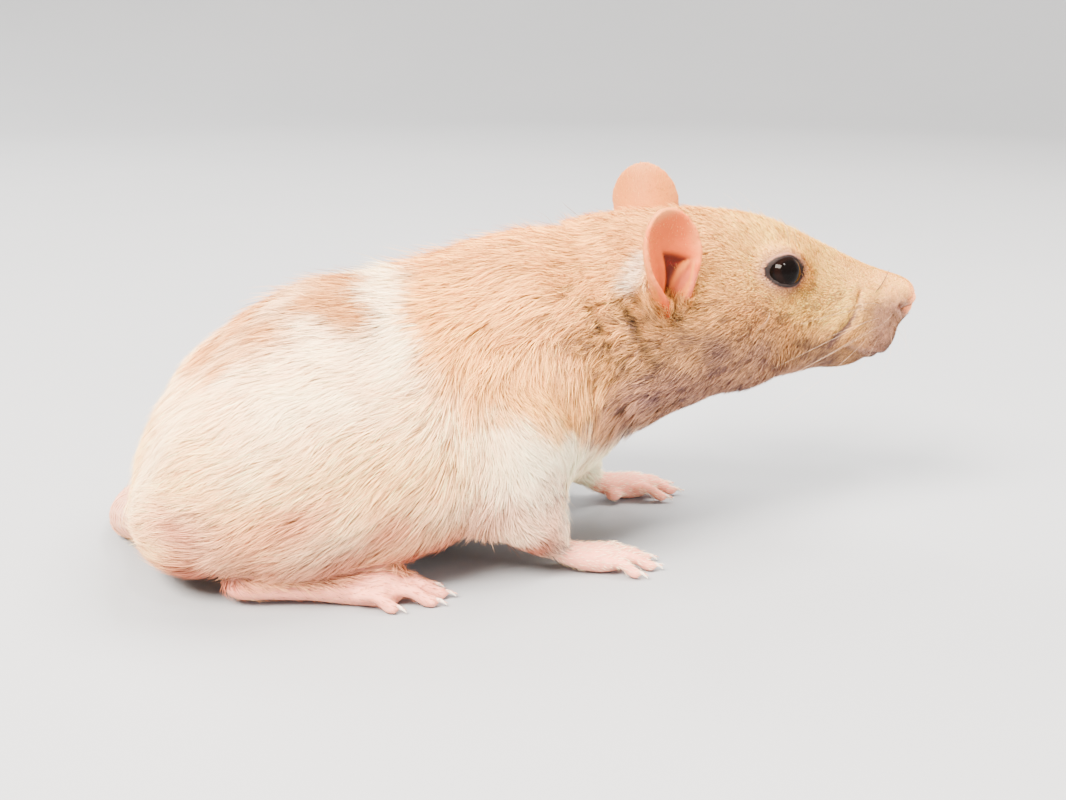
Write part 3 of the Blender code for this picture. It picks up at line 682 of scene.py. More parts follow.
# Lines on each side of the neck where the coat parts, with half their width in mm
coatPartings = [
    (snapped(line, skinTree), wide)
    for line, wide in (
        (((10.0, 13.2, 44.0), (11.3, 13.5, 41.9), (12.4, 13.8, 39.9), (13.1, 14.0, 37.0)), 0.7),
        (((13.4, 14.0, 36.6), (14.9, 14.2, 35.3), (16.2, 14.4, 33.4)), 0.9),
        (((3.2, 13.0, 44.8), (4.6, 13.4, 43.2)), 0.55),
        (((5.1, 13.6, 41.0), (6.5, 14.0, 38.5)), 0.65),
        (((7.2, 14.0, 36.6), (9.3, 14.3, 34.8), (11.3, 14.5, 33.2)), 0.65),
        (((11.2, 13.0, 45.4), (13.1, 13.0, 43.3)), 0.65),
    )
]


def partings(points):
    # Short gaps in the coat of the neck, 1 in the middle of one. The coat is thinner there, and the hairs and
    # skin in a gap are painted near black, as the shade among its roots
    total = np.max([hill(fromLines(points, line), 0, wide) for line, wide in coatPartings], axis=0)
    return total * patches(points, 0.85, 0.3, 1.1, 17)


def painted(colour, *layers):
    # Lays tones over a colour, each with the share of it that shows
    for tone, share in layers:
        colour = blend(colour, np.array(tone), share)
    return colour


def markings(points):
    # The colour of the coat at each place, the same for the skin under it. Shade is painted on the cheeks,
    # throat, chest, belly, pad crease and mouth, and light on the top of the head
    x, y, z = points.T
    tone = coatTones
    wander = 1.3 * ripple(points, 7, 11) + 0.7 * ripple(points, 2.6, 12)
    stripe = ease(18.5, 10.0, np.abs(y) + 0.9 * wander) * ease(-64, -52, x) * (1 - 0.95 * hill(x, -20.5, 3.2))
    stripe = stripe * (0.92 + 0.3 * ripple(points, 5, 13)) * ease(28.0, 36.0, z)
    low = ease(42.0, 21.0, z) * ease(-4.0, -18.0, x) * patches(points, 0.75, 0.3, 8, 19)
    lain = points * (0.32, 0.6, 1.0) + stacked(x, 0.5 * z, 0, 0.4 * x) * 0.6
    cream = patches(lain, 0.38, 0.55, 3.2, 18) * ease(-68, -44, x) * ease(-4, -16, x) * ease(46, 26, z)
    # Painted shade: the white of the chest under the head is tinted darker peach where it lies in shade
    chestShade = 0.35 * ease(4.0, 12.0, x) * ease(11.0, 6.0, np.abs(y)) * ease(36.0, 28.0, z)
    # Pink skin through the thin belly coat, darker and redder low down as painted shade and painted reddish
    # reflected light
    flesh = ease(24.0, 11.0, z) * ease(-66.0, -52.0, x) * ease(8.0, -4.0, x)
    flesh = flesh * (0.75 + 0.3 * ripple(points, 6, 14))
    body = painted(
        np.array(tone["white"]), (tone["stripe"], np.clip(stripe, 0, 1)), (tone["blush"], 0.95 * low),
        (tone["blush"], 0.5 * cream), (tone["blush"], chestShade), (tone["flesh"], np.clip(0.95 * flesh, 0, 1)),
    )
    # Painted light: the top of the head and the snout are laid lighter, as lit from above
    brow = 0.85 * ease(24.0, 38.0, x) * ease(0.0, 6.0, z - np.interp(x, (24, 36, 43, 60), (42, 39, 34, 31)))
    # Painted shade: the cheeks are laid darker and greyer where the head's side turns down from the light
    cheek = ease(44.5, 36.5, z + 0.28 * np.maximum(x - 24, 0)) * ease(6.0, 20.0, x) * ease(60.0, 48.0, x)
    cheek = 0.72 * cheek * (0.85 + 0.25 * ripple(points, 5, 16))
    # Painted shade: the throat under the head is laid darker
    throatShade = ease(34.0, 28.0, z) * ease(2.0, 14.0, x) * ease(56.0, 40.0, x)
    muzzle = 0.9 * ease(51.0, 57.0, x) * ease(41.5, 38.0, z)
    fawn = painted(
        np.array(tone["hood"]), (tone["hoodDark"], 0.35 * patches(points, 0.5, 0.35, 9, 15)),
        (tone["brow"], brow), (tone["cheek"], np.clip(cheek, 0, 1)), (tone["throatShade"], 0.8 * throatShade),
        (tone["lid"], 0.8 * ease(2.3, 0.8, fromLids(points))), (tone["muzzle"], muzzle),
    )
    for side in bothSides:
        tuft, _ = fromLine(points, tuftLine, side)
        mouth, _ = fromLine(points, skinMouth, side)
        crease, place = fromLine(points, skinCrease, side)
        # Painted shade: the coat in the crease behind the whisker pad and along the mouth is laid darker
        crease = np.maximum(0.9 * hill(crease, 0, 0.55) * ease(0.2, 0.6, place), 0.6 * hill(mouth, 0, 0.55))
        fawn = painted(fawn, (tone["tuft"], 0.8 * hill(tuft, 0, 1.3)), (tone["crease"], crease))
    rear = ease(-20.0, -14.5, x + wander + 0.10 * (z - 40))
    hem = np.interp(x, (-25, -19, -5, 6, 16, 30), (37, 34, 29, 26, 21, 12))
    return blend(body, fawn, rear * ease(-2.6, 2.6, z + wander - hem))


def lieOfCoat(points, normals, zones):
    # The way the hairs point: back from the nose, back along the body, down the sides and legs
    x, y, z = points.T
    body = unit(stacked(x, -1, 0, -0.10 - 0.38 * ease(6.0, 22.0, np.abs(y))))
    rump = unit(unit(np.array((-62.0, 0.0, 8.0)) - points) + (-0.5, 0, -0.1))
    face = unit(unit(points - noseTip) + stacked(x, 0, 0, -0.25 * ease(44.0, 34.0, z)))
    fromEye = points - stacked(x, eyeCentre[0], np.sign(y) * eyeCentre[1], eyeCentre[2])
    aside = 1.1 * hill(sizeOf(fromEye), 0, 4.5)[:, None] * unit(fromEye) * (0.12, 1, 1)
    total = blend(body, rump, ease(-48.0, -64.0, x)) * (zones["torso"] + zones["neck"])[:, None]
    ways = {
        "head": unit(face + aside),
        "thigh": unit((-1, 0, -0.48)),
        "foreleg": unit((0.60, 0, -0.85)),
        "feet": np.array((1.0, 0.0, -0.1)),
    }
    for key, way in ways.items():
        total = total + way * zones[key][:, None]
    for side in bothSides:
        total = total + earAxes(side)[1][2] * (zones["ear"] * (np.sign(y) == side))[:, None]
    return unit(along(total, normals))


flow = lieOfCoat(skin.points, normals, zone)
flow = unit(along(skin.spread(flow, 40), normals))
say("lie of the coat found")

# Coat by zone: length in mm, width in mm, hairs per square mm, lift off the skin in mm
coatZones = {
    "torso": (5.9, 0.138, 14.3, 1.9),
    "neck": (4.5, 0.118, 20.0, 1.8),
    "thigh": (5.6, 0.135, 14.5, 1.8),
    "foreleg": (3.6, 0.12, 18.0, 1.1),
    "head": (2.2, 0.088, 45.0, 0.9),
    "forepaw": (1.1, 0.07, 4.0, 0.35),
    "hind_foot": (1.3, 0.07, 3.0, 0.35),
    "ear": (0.75, 0.05, 3.0, 0.3),
    "tail": (1.9, 0.06, 1.6, 0.45),
}
coatLimits = {
    "pieceTriangles": 190000,
    "patch": 0.003,       # a blade's own patch on the unwrap
    "seed": 7,
    "floor": 0.04,        # no hair goes lower, in mm
    "short": 2.6,         # shorter hairs have fewer rows
    "quickShare": 0.35,
}


def coatFields(points, zones):
    # Length, width, density and lift of the coat at each place
    total = sum(zones[key] for key in coatZones)
    length, width, density, lift = (
        sum(zones[key] * sizes[k] for key, sizes in coatZones.items()) / total for k in range(4)
    )
    x, _, z = points.T
    muzzle = ease(40.0, 60.0, x) * zones["head"]
    crown = ease(20.0, 34.0, x) * zones["head"] * (1 - muzzle)
    low = ease(12.0, 5.0, z) * zones["foreleg"]
    away = ease(3.3, 6.5, fromEyes(points))
    tuft = hill(fromLines(points, tuftLine), 0, 1.5)
    length = length * (1 - 0.76 * muzzle) * (1 - 0.3 * crown) * (1 - 0.55 * low) * (0.4 + 0.6 * away)
    width = width * (1 - 0.35 * muzzle)
    density = density * (1 + 0.9 * muzzle)
    lift = lift * (1 - 0.74 * muzzle) * (1 - 0.6 * low) * (1 + 0.5 * tuft) * (0.35 + 0.65 * away)
    cover = ease(0.55, 0.85, fromLids(points)) * ease(2.0, 3.8, sizeOf(points - noseTip))
    for line, wide in ((nostrilLine, 1.2), (skinCrease, 0.6), (skinMouth, 0.7)):
        cover = cover * (1 - 0.85 * hill(fromLines(points, line), 0, wide))
    cover = cover * (1 - 0.8 * partings(points))
    for side in bothSides:
        own, cup, beyond, up, front = onEar(points, normals, zones, side)
        cover = cover * (1 - own * cup * ease(0.75, 0.55, up)) * (1 - own * ease(1.2, 0.6, beyond))
        foot = own * ease(0.22, 0.12, up - 0.02 * np.maximum(-front, 0))
        cover = np.maximum(cover, foot)
        length, width, lift = length + 1.6 * foot, width + 0.03 * foot, lift + 0.5 * foot
        density = density * (1 + 8 * foot)
    sole = ease(0.5, 1.6, z) * zones["feet"] + (1 - zones["forepaw"] - zones["hind_foot"])
    return {"length": length, "width": width, "lift": lift, "density": density * cover * np.clip(sole, 0, 1)}


def scatter(sheet, density):
    # Roots spread over the skin at random, as triangle numbers and weights of their corners
    rng = np.random.default_rng(coatLimits["seed"])
    a, b, c = (sheet.points[corner] for corner in sheet.faces.T)
    area = 0.5 * sizeOf(np.cross(b - a, c - a))
    share = area * density[sheet.faces].mean(1)
    count = int(share.sum() * (1.0))
    steps = np.cumsum(share) / share.sum()
    triangle = np.searchsorted(steps, (np.arange(count) + rng.random(count)) / count).clip(0, len(area) - 1)
    u, v = rng.random(count), rng.random(count)
    over = u + v > 1
    u[over], v[over] = 1 - u[over], 1 - v[over]
    return triangle, np.stack([1 - u - v, u, v], axis=1)


def onSkin(points):
    # Nearest place on the skin and its normal
    found = [skinTree.find_nearest(p)[:2] for p in points.tolist()]
    return np.array([spot for spot, _ in found]), np.array([up for _, up in found])


fields = coatFields(skin.points, zone)
triangle, weights = scatter(skin, fields["density"])


def carried(values):
    # Values of the skin's points, read at the roots
    corners = values[skin.faces[triangle]]
    return (corners * weights.reshape(weights.shape + (1,) * (corners.ndim - 2))).sum(1)


hairSizes = {
    "tuft": 0.8,          # mm from tuft to tuft
    "lock": 3.6,          # mm from lock to lock
    "guards": 0.07,       # share of longer guard hairs
    "guardLength": 1.25,  # their length, as a share of the others'
    "guardWidth": 0.8,
    "strays": 0.05,       # share of hairs along the back that stand out of the coat
    "ticked": 0.16,       # share of dark hairs in the hood
    "pale": 0.14,         # share of pale hairs in it
    "sunk": 0.15,         # how deep a root lies in the skin, in mm
    "frontTick": (0.37, 0.33, 0.32),    # what a dark hair keeps of the coat's colour, and on the sides
    "sideTick": (0.36, 0.365, 0.56),
}


def growHairs():
    # Root, bend, middle, shoulder and tip of every hair, with its width and colour
    rng = np.random.default_rng(coatLimits["seed"] + 1)
    root, up = carried(skin.points), unit(carried(normals))
    x, _, z = root.T
    count = len(root)
    lie = unit(along(carried(flow), up))
    length, width, lift, bare = (
        carried(values) for values in (fields["length"], fields["width"], fields["lift"], zone["bare"])
    )
    tuft, tuftOwn = cellCentres(root, hairSizes["tuft"], 3)
    lock, lockOwn = cellCentres(root, hairSizes["lock"], 5)
    face = ease(14.0, 30.0, x)
    ruff = hill(x, 8.0, 9.0) * ease(48.0, 42.0, z) * (1 - bare)

    # Which way the hair turns, how long it is and how high it stands
    swing = 0.17 * ripple(root, 11, 21) + 0.11 * ripple(root, 3.5, 22) + 0.16 * (tuftOwn - 0.5)
    swing = (swing + rng.normal(0, 0.13, count)) * (1 - 0.4 * ease(30, 50, x)) + 0.4 * ruff * (lockOwn - 0.5)
    lie = unit(lie * np.cos(swing)[:, None] + np.cross(up, lie) * np.sin(swing)[:, None])
    length = length * rng.uniform(0.62, 1.12, count) * (0.85 + 0.3 * lockOwn)
    guard = (rng.random(count) < hairSizes["guards"]) & (bare < 0.5)
    length = length * np.where(guard, hairSizes["guardLength"], 1.0)
    height = 0.72 + 0.36 * rng.random(count) + 0.18 * (tuftOwn - 0.5) + 0.10 * ripple(root, 4.5, 23)
    height = lift * height * np.where(guard, 1.3 + 0.5 * rng.random(count) * ease(35, 45, z), 1.0)
    top = ease(40.0, 46.0, z + 0.12 * np.abs(x + 20))
    stray = (rng.random(count) < hairSizes["strays"] * top * (1 - face)) & (bare < 0.5)
    height = height * np.where(stray, rng.uniform(1.4, 2.0, count), 1.0)

    # Where its middle and tip lie, drawn a little to those of its tuft and lock
    pull = 0.22 * (1 - bare) * (1 - 0.6 * face) * (1 + 0.9 * ruff)
    toTuft = along(tuft - root, up) * pull[:, None]
    toLock = along(lock - root, up) * (0.12 * (1 - bare) * (1 - 0.8 * face) + 0.16 * ruff)[:, None]
    half = (0.5 * length)[:, None]
    under, underUp = onSkin(root + lie * half + toTuft * 0.45 + toLock * 0.4)
    middle = under + underUp * (height * 0.66)[:, None]
    onward = unit(along(middle - root, underUp) + 1e-6)
    end, endUp = onSkin(under + onward * half + toTuft * 0.55 + toLock * 0.6)
    tip = end + endUp * height[:, None]
    shoulder = 0.5 * (middle + tip) + endUp * (0.06 * height)[:, None]
    base = root - up * hairSizes["sunk"]
    bend = 0.45 * base + 0.55 * middle + up * (0.12 * lift)[:, None]
    below = (root, 0.5 * (root + under), under, 0.5 * (under + end), end)
    hairs = {"root": root, "rows": (base, bend, middle, shoulder, tip), "up": up + endUp}
    hairs["isShort"] = length < coatLimits["short"]
    hairs["wide"] = width * rng.uniform(0.75, 1.2, count) * np.where(guard, hairSizes["guardWidth"], 1.0)
    # Share of each row's colour that is kept; over a parting the rest is painted near black, as the shade in
    # the gap
    hairs["clear"] = 1 - 0.97 * np.stack([partings(place) for place in below], axis=1)

    # Its colour: ticked with dark hairs, most in streaks on the sides of neck and cheek, and with pale ones
    colour = markings(root)
    fawn = ease(0.72, 0.55, colour.mean(1))
    vary = 1 + 0.10 * (tuftOwn - 0.5) + rng.normal(0, 0.06, count) + (0.05 + 0.3 * ruff) * (lockOwn - 0.5)
    colour = colour * vary[:, None]
    side = ease(46.0, 40.0, z) * ease(-6.0, 6.0, x) * ease(58.0, 48.0, x)
    streaky = ease(0.0, 1.0, ripple(root * (0.55, 0.8, 1.0), 1.5, 24))
    ticked = rng.random(count) < (hairSizes["ticked"] + 0.10 * face + 0.5 * streaky * side) * fawn
    tick = painted(np.array(hairSizes["frontTick"]), (hairSizes["sideTick"], side))
    colour = np.where(ticked[:, None], colour * tick, colour)
    pale = rng.random(count) < hairSizes["pale"] * fawn
    colour = np.where(pale[:, None], np.minimum(colour * 1.4, 0.95), colour)
    hairs["colour"], hairs["fawn"] = np.clip(colour, 0.02, 0.93), fawn
    return hairs


hairs = growHairs()
say("%d hairs grown" % len(triangle))

# A blade's rows by kind: places across its patch, shares of its width, its triangles, and the painted shade
# of each row for fawn and for white hairs, darker at the root and brighter than the hair's colour at the tip
bladeKinds = {
    "long": {
        "rows": (0, 1, 2, 4),
        "spread": (0.75, 1.0, 0.8),
        "faces": ((0, 1, 3), (0, 3, 2), (2, 3, 5), (2, 5, 4), (4, 5, 6)),
        "patch": ((0, 0), (1, 0), (0, 0.35), (1, 0.35), (0.1, 0.7), (0.9, 0.7), (0.5, 1.0)),
        "fawn": (0.46, 0.84, 1.06, 1.32),
        "white": (0.78, 0.92, 1.02, 1.07),
    },
    "short": {
        "rows": (0, 2, 4),
        "spread": (0.85, 1.0),
        "faces": ((0, 1, 3), (0, 3, 2), (2, 3, 4)),
        "patch": ((0, 0), (1, 0), (0, 0.5), (1, 0.5), (0.5, 1.0)),
        "fawn": (0.46, 0.98, 1.30),
        "white": (0.80, 0.98, 1.07),
    },
}


def unwrapped(root):
    # Where each root lies on an unwrap of the skin: round the body against along it, for one coat piece
    x, y, z = root.T
    middle = np.interp(x, (-66, -50, -20, 5, 20, 40, 65), (10, 20, 24, 32, 38, 39, 38))
    turn = np.arctan2(y, z - middle) / (2 * math.pi) + 0.5
    span = np.maximum(np.ptp(x), 1e-6)
    return np.stack([0.01 + 0.97 * turn, 0.01 + 0.97 * (x - x.min()) / span], axis=1)


def bladesOf(pick, kind):
    # Flat tapered blades along the hairs in pick
    shape = bladeKinds[kind]
    rows = [hairs["rows"][row][pick] for row in shape["rows"]]
    count, corners = len(pick), len(shape["patch"])
    roll = np.random.default_rng(coatLimits["seed"] + 2).uniform(-0.7, 0.7, count)
    direction = unit(rows[-2] - rows[0])
    out = unit(along(hairs["up"][pick], direction))
    widthWay = np.cross(out, direction) * np.cos(roll)[:, None] + out * np.sin(roll)[:, None]
    half = 0.5 * hairs["wide"][pick][:, None] * widthWay
    fawn = hairs["fawn"][pick]
    points = np.empty((count, corners, 3))
    shade, clear = np.empty((2, count, corners))
    for corner in range(corners):
        row = corner // 2
        spread = 0 if row == len(rows) - 1 else (2 * (corner % 2) - 1) * shape["spread"][row]
        points[:, corner] = rows[row] + half * spread
        shade[:, corner] = shape["white"][row] + (shape["fawn"][row] - shape["white"][row]) * fawn
        clear[:, corner] = hairs["clear"][pick, shape["rows"][row]]
    points[..., 2] = np.maximum(points[..., 2], coatLimits["floor"])
    start = (np.arange(count) * corners)[:, None]
    faces = np.concatenate([start + np.array(face) for face in shape["faces"]])
    # Painted shade: each row's colour is scaled by its shade, and the shaded rows of white hairs are tinted
    # warm
    warmShade = np.clip(1 - shade, 0, 1)[:, :, None] * (1 - fawn)[:, None, None] * np.array((0.0, 0.4, 1.0))
    colours = hairs["colour"][pick][:, None, :] * (shade * clear)[:, :, None] * (1 - warmShade)
    # Rows over a parting are painted near black, as the shade in the gap
    colours = np.clip(colours + (1 - clear)[:, :, None] * (0.008, 0.007, 0.008), 0, 0.96)
    patch = (np.array(shape["patch"]) - 0.5) * coatLimits["patch"]
    places = unwrapped(hairs["root"][pick])[:, None, :] + patch
    return points.reshape(-1, 3), faces, colours.reshape(-1, 3), places.reshape(-1, 2)


def makeCoat(finish):
    # Splits the hairs from tail to nose into pieces under the limit and builds each
    x, isShort = hairs["root"][:, 0], hairs["isShort"]
    order = np.argsort(x)
    spent = np.cumsum(np.where(isShort, 3, 5)[order])
    pieces = math.ceil(spent[-1] / coatLimits["pieceTriangles"])
    for k in range(pieces):
        own = order[(spent > spent[-1] * k / pieces) & (spent <= spent[-1] * (k + 1) / pieces)]
        picks = {"long": own[~isShort[own]], "short": own[isShort[own]]}
        parts = [bladesOf(pick, kind) for kind, pick in picks.items() if len(pick)]
        points, _, colours, places = (np.concatenate(arrays) for arrays in zip(*parts))
        offsets = np.cumsum([0] + [len(part[0]) for part in parts[:-1]])
        faces = np.concatenate([part[1] + offset for part, offset in zip(parts, offsets)])
        name = "coat_%d" % (k + 1)
        mesh = meshFrom(name, points, faces)
        addColour(mesh, "coatColour", colours)
        addMap(mesh, "OFBake", places)
        placed(name, mesh, finish, "fawn_coat" if x[own].mean() > -17 else "white_coat")
    say("%d blades, %d triangles in %d coat pieces" % (len(x), spent[-1], pieces))


def coatFinish():
    finish = Finish("softFur")
    drift = finish.noise(2.2)
    tone = finish.mix("MULTIPLY", 0.25, finish.stored("coatColour"), drift * 0.5 + 0.75)
    return finish.wear(Base_Color=tone, Roughness=0.5 + drift * 0.15, Specular_IOR_Level=0.2)


makeCoat(coatFinish())

skinTones = {
    "pink": (0.702, 0.396, 0.333),
    "paw": (0.74, 0.30, 0.215),
    "tail": (0.55, 0.32, 0.24),
    "nose": (0.97, 0.37, 0.165),
    # painted shade in the slit of the mouth and the split of the lip
    "mouthShade": (0.30, 0.10, 0.08),       # the mouth
    # painted shade inside the nostrils
    "nostril": (0.15, 0.05, 0.04),
    # painted shade in the crease behind the whisker pad
    "crease": (0.16, 0.085, 0.085),
    "roundEye": (0.26, 0.12, 0.10),
    "lid": (0.012, 0.008, 0.008),
    "earBack": (0.51, 0.165, 0.032),
    "earCup": (0.53, 0.095, 0.015),
    "earRim": (0.54, 0.20, 0.058),
    "earFoot": (0.42, 0.105, 0.05),
    # painted shade: the ear's hollow, near black where the cup sinks
    "earHollowShade": (0.07, 0.012, 0.009),
    "earNotch": (0.20, 0.045, 0.03),
}


def skinColours(points, normals, zones):
    # The coat's markings under the coat, and flesh pink where the rat is bare
    tone = skinTones
    # Under a parting of the coat the skin is painted dark, as the shade in the gap
    colour = painted(
        markings(points) * (0.85 - 0.7 * partings(points))[:, None],
        (tone["pink"], 0.3 * (1 - ease(0.0, 1.0, zones["bare"]))),
        (tone["paw"], ease(0.2, 0.7, zones["feet"])), (tone["tail"], ease(0.2, 0.7, zones["tail"])),
    )
    for side in bothSides:
        _, cup, beyond, up, front = onEar(points, normals, zones, side)
        ear = painted(
            np.array(tone["earBack"]), (tone["earCup"], cup),
            (tone["earRim"], ease(0.86, 1.0, up) + 0.6 * ease(3.6, 5.2, np.abs(front))),
        )
        notch = np.hypot((front + 2.1) / 0.7, (up - 0.31) * earSizes["length"] / 1.5)
        # The ear's hollow is painted near black, as the shade in it
        ear = painted(
            ear * (1 - 0.22 * (1 - cup) * ease(0.45, 0.9, up))[:, None],
            (tone["earFoot"], 0.8 * cup * ease(0.48, 0.36, up) * ease(0.6, 1.6, front)),
            (tone["earHollowShade"], 0.97 * cup * ease(0.45, -0.15, beyond)),
            (tone["earNotch"], 0.8 * ease(1.3, 0.5, notch)),
        )
        colour = blend(colour, ear, ease(0.25, 0.7, zones["ear"]) * (np.sign(points[:, 1]) == side))
    colour = painted(colour, (tone["nose"], ease(4.6, 2.4, sizeOf(points - noseTip)) * zones["head"]))
    for side in bothSides:
        slit, _ = fromLine(points, nostrilLine, side)
        mouth, _ = fromLine(points, mouthLine, side)
        crease, place = fromLine(points, skinCrease, side)
        # Painted shade: the nostrils, the slit of the mouth and the pad's crease are painted dark
        colour = painted(
            colour, (tone["nostril"], 0.95 * hill(slit, 0, 0.5)), (tone["mouthShade"], 0.7 * hill(mouth, 0, 0.4)),
            (tone["crease"], 0.8 * hill(crease, 0, 0.5) * ease(0.1, 0.4, place)),
        )
    # Painted shade along the split of the lip
    split, _ = fromLine(points, splitLine)
    colour = painted(colour, (tone["mouthShade"], 0.5 * hill(split, 0, 0.3)))
    _, rim = fitLids(points)
    offLids = fromLids(points)
    colour = colour * (1 - 0.4 * ease(2.8, 1.0, offLids))[:, None]
    return painted(colour, (tone["roundEye"], 0.7 * ease(1.3, 0.6, offLids)), (tone["lid"], rim))


def skinFinish():
    finish = Finish("ratSkin")
    bare = finish.stored("bareness", out=2)
    mottle = finish.noise(1.6, detail=4.0)
    tone = finish.mix("MULTIPLY", 0.35, finish.stored("skinColour"), mottle * 0.6 + 0.7)
    sockets = {"Vector": finish.place(), "Scale": 1 / (0.42 * mm)}
    cells = finish.node("TexVoronoi", {"feature": "DISTANCE_TO_EDGE"}, sockets)
    grain = cells.between(0.0, 0.25) * bare + finish.noise(0.5) * 0.6
    return finish.wear(
        Base_Color=tone, Roughness=0.62 - bare * 0.1 + mottle * 0.1, Normal=finish.bumps(grain, 0.3, 0.05),
        Subsurface_Weight=0.25, Subsurface_Radius=(1.0, 0.35, 0.2), Subsurface_Scale=0.0016,
        Specular_IOR_Level=0.15,
    )


skinMesh = meshFrom("skin", skin.points, skin.faces)
addColour(skinMesh, "skinColour", skinColours(skin.points, normals, zone))
addNumber(skinMesh, "bareness", zone["bare"])
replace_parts(placed("skin", skinMesh, skinFinish(), "pink_skin"), *fleshNodes)
say("skin dressed")


class Tree:
    # A Geometry Nodes tree with one mesh in and one out, and named inputs for its sizes

    def __init__(self, name, **sizes):
        self.tree, self.sizes = bpy.data.node_groups.new(name, "GeometryNodeTree"), sizes
        for way in ("OUTPUT", "INPUT"):
            self.tree.interface.new_socket("Geometry", in_out=way, socket_type="NodeSocketGeometry")
        for size, value in sizes.items():
            kind = "NodeSocketInt" if isinstance(value, int) else "NodeSocketFloat"
            self.tree.interface.new_socket(size, in_out="INPUT", socket_type=kind)
        self.given = self.node("NodeGroupInput", {})

    def node(self, kind, links, settings=None):
        # Adds one node with its settings, links its sockets and gives its outputs
        made = self.tree.nodes.new(kind if "Node" in kind else "GeometryNode" + kind)
        for key, value in (settings or {}).items():
            setattr(made, key, value)
        for key, value in links.items():
            if isinstance(value, bpy.types.NodeSocket):
                self.tree.links.new(value, made.inputs[key])
            else:
                made.inputs[key].default_value = value
        return made.outputs

    def girth(self):
        return self.node("InputNamedAttribute", {"Name": "girth"}, {"data_type": "FLOAT"})[0]

    def grow(self, points, edges, last, finish, **numbers):
        # Ends the tree, runs it on a guide of points and edges, and gives the plain mesh
        whole = self.node("RealizeInstances", {"Geometry": last})
        dressed = self.node("SetMaterial", {"Geometry": whole[0], "Material": finish})
        self.node("NodeGroupOutput", {"Geometry": dressed[0]})
        mesh = bpy.data.meshes.new("guide")
        mesh.from_pydata(toPart(points).tolist(), edges, [])
        for name, values in numbers.items():
            addNumber(mesh, name, values)
        guide = added(bpy.data.objects.new("guide", mesh))
        modifier = guide.modifiers.new("nodes", "NODES")
        modifier.node_group = self.tree
        for item in self.tree.interface.items_tree:
            if item.name in self.sizes:
                modifier[item.identifier] = self.sizes[item.name]
        made = evaluated(guide)
        bpy.data.meshes.remove(mesh)
        for polygon in made.polygons:
            polygon.use_smooth = True
        made.materials.clear()
        return made


def threads(name, lines, radii, finish, share, sides=4):
    # Closed tapered tubes along many lines of the same number of points: lines is (n, rows, 3)
    count, rows, _ = np.shape(lines)
    tree = Tree(name + "Tree", Sides=sides)
    path = tree.node("MeshToCurve", {"Mesh": tree.given["Geometry"]})[0]
    section = tree.node("CurvePrimitiveCircle", {"Resolution": tree.given["Sides"], "Radius": 1.0})[0]
    links = {"Curve": path, "Profile Curve": section, "Scale": tree.girth(), "Fill Caps": True}
    tube = tree.node("CurveToMesh", links)[0]
    edges = [(k * rows + i, k * rows + i + 1) for k in range(count) for i in range(rows - 1)]
    places = {"girth": np.ravel(radii) * mm, "alongThread": np.tile(share, count)}
    return tree.grow(np.reshape(lines, (-1, 3)), edges, tube, finish, **places)


eyeSizes = {
    "radius": 3.1,
    "cornea": 0.16,       # how far the cornea stands out
    "corneaReach": 0.95,  # radians from the axis to its edge
    "rings": 40,
    "sides": 64,
}


def makeEye(side, finish):
    # The eyeball, turned about its axis, with its slightly fuller cornea
    rings, count = eyeSizes["rings"], eyeSizes["sides"]
    angle = math.pi * (1 - np.arange(1, rings) / rings)
    bulge = np.maximum(np.cos(angle * math.pi / 2 / eyeSizes["corneaReach"]), 0) ** 2
    radius = eyeSizes["radius"] + eyeSizes["cornea"] * bulge * (angle < eyeSizes["corneaReach"])
    turn = np.arange(count) / count * 2 * math.pi
    across, upward = (np.outer(radius * np.sin(angle), way).ravel() for way in (np.cos(turn), np.sin(turn)))
    points = np.column_stack([np.repeat(radius * np.cos(angle), count), across, upward])
    front = eyeSizes["radius"] + eyeSizes["cornea"]
    points = np.concatenate([[(-eyeSizes["radius"], 0, 0)], points, [(front, 0, 0)]])
    last = len(points) - 1
    faces = []
    for i in range(count):
        j = (i + 1) % count
        faces.append((0, 1 + j, 1 + i))
        for row in range(rings - 2):
            a, b = 1 + row * count, 1 + (row + 1) * count
            faces += [(a + i, a + j, b + j), (a + i, b + j, b + i)]
        faces.append((last, last - count + i, last - count + j))
    centre, axes = eyeFrames[side]
    name = "eyeball_right" if side < 0 else "eyeball_left"
    eye = placed(name, meshFrom(name, points @ axes + centre, faces), finish, "eye")
    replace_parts(eye, "eye_right" if side < 0 else "eye_left")


def eyeFinish(side):
    # Almost black, with a faint brown iris round a wide pupil
    finish = Finish("darkEye_right" if side < 0 else "darkEye_left")
    centre, axes = eyeFrames[side]
    ends = {0: finish.place(), 1: tuple(toPart(centre + axes[0] * eyeSizes["radius"]))}
    fromPupil = finish.node("VectorMath", {"operation": "DISTANCE"}, ends, out=1) / mm
    ring = fromPupil.between(1.5, 2.1) - fromPupil.between(2.5, 3.0)
    share = ring * finish.noise(0.25) * 0.7
    tone = finish.mix("MIX", share, (0.002, 0.0015, 0.0015, 1), (0.010, 0.004, 0.003, 1))
    return finish.wear(Base_Color=tone, Roughness=0.02 + finish.noise(1.5) * 0.03, Specular_IOR_Level=0.055)


for side in bothSides:
    makeEye(side, eyeFinish(side))

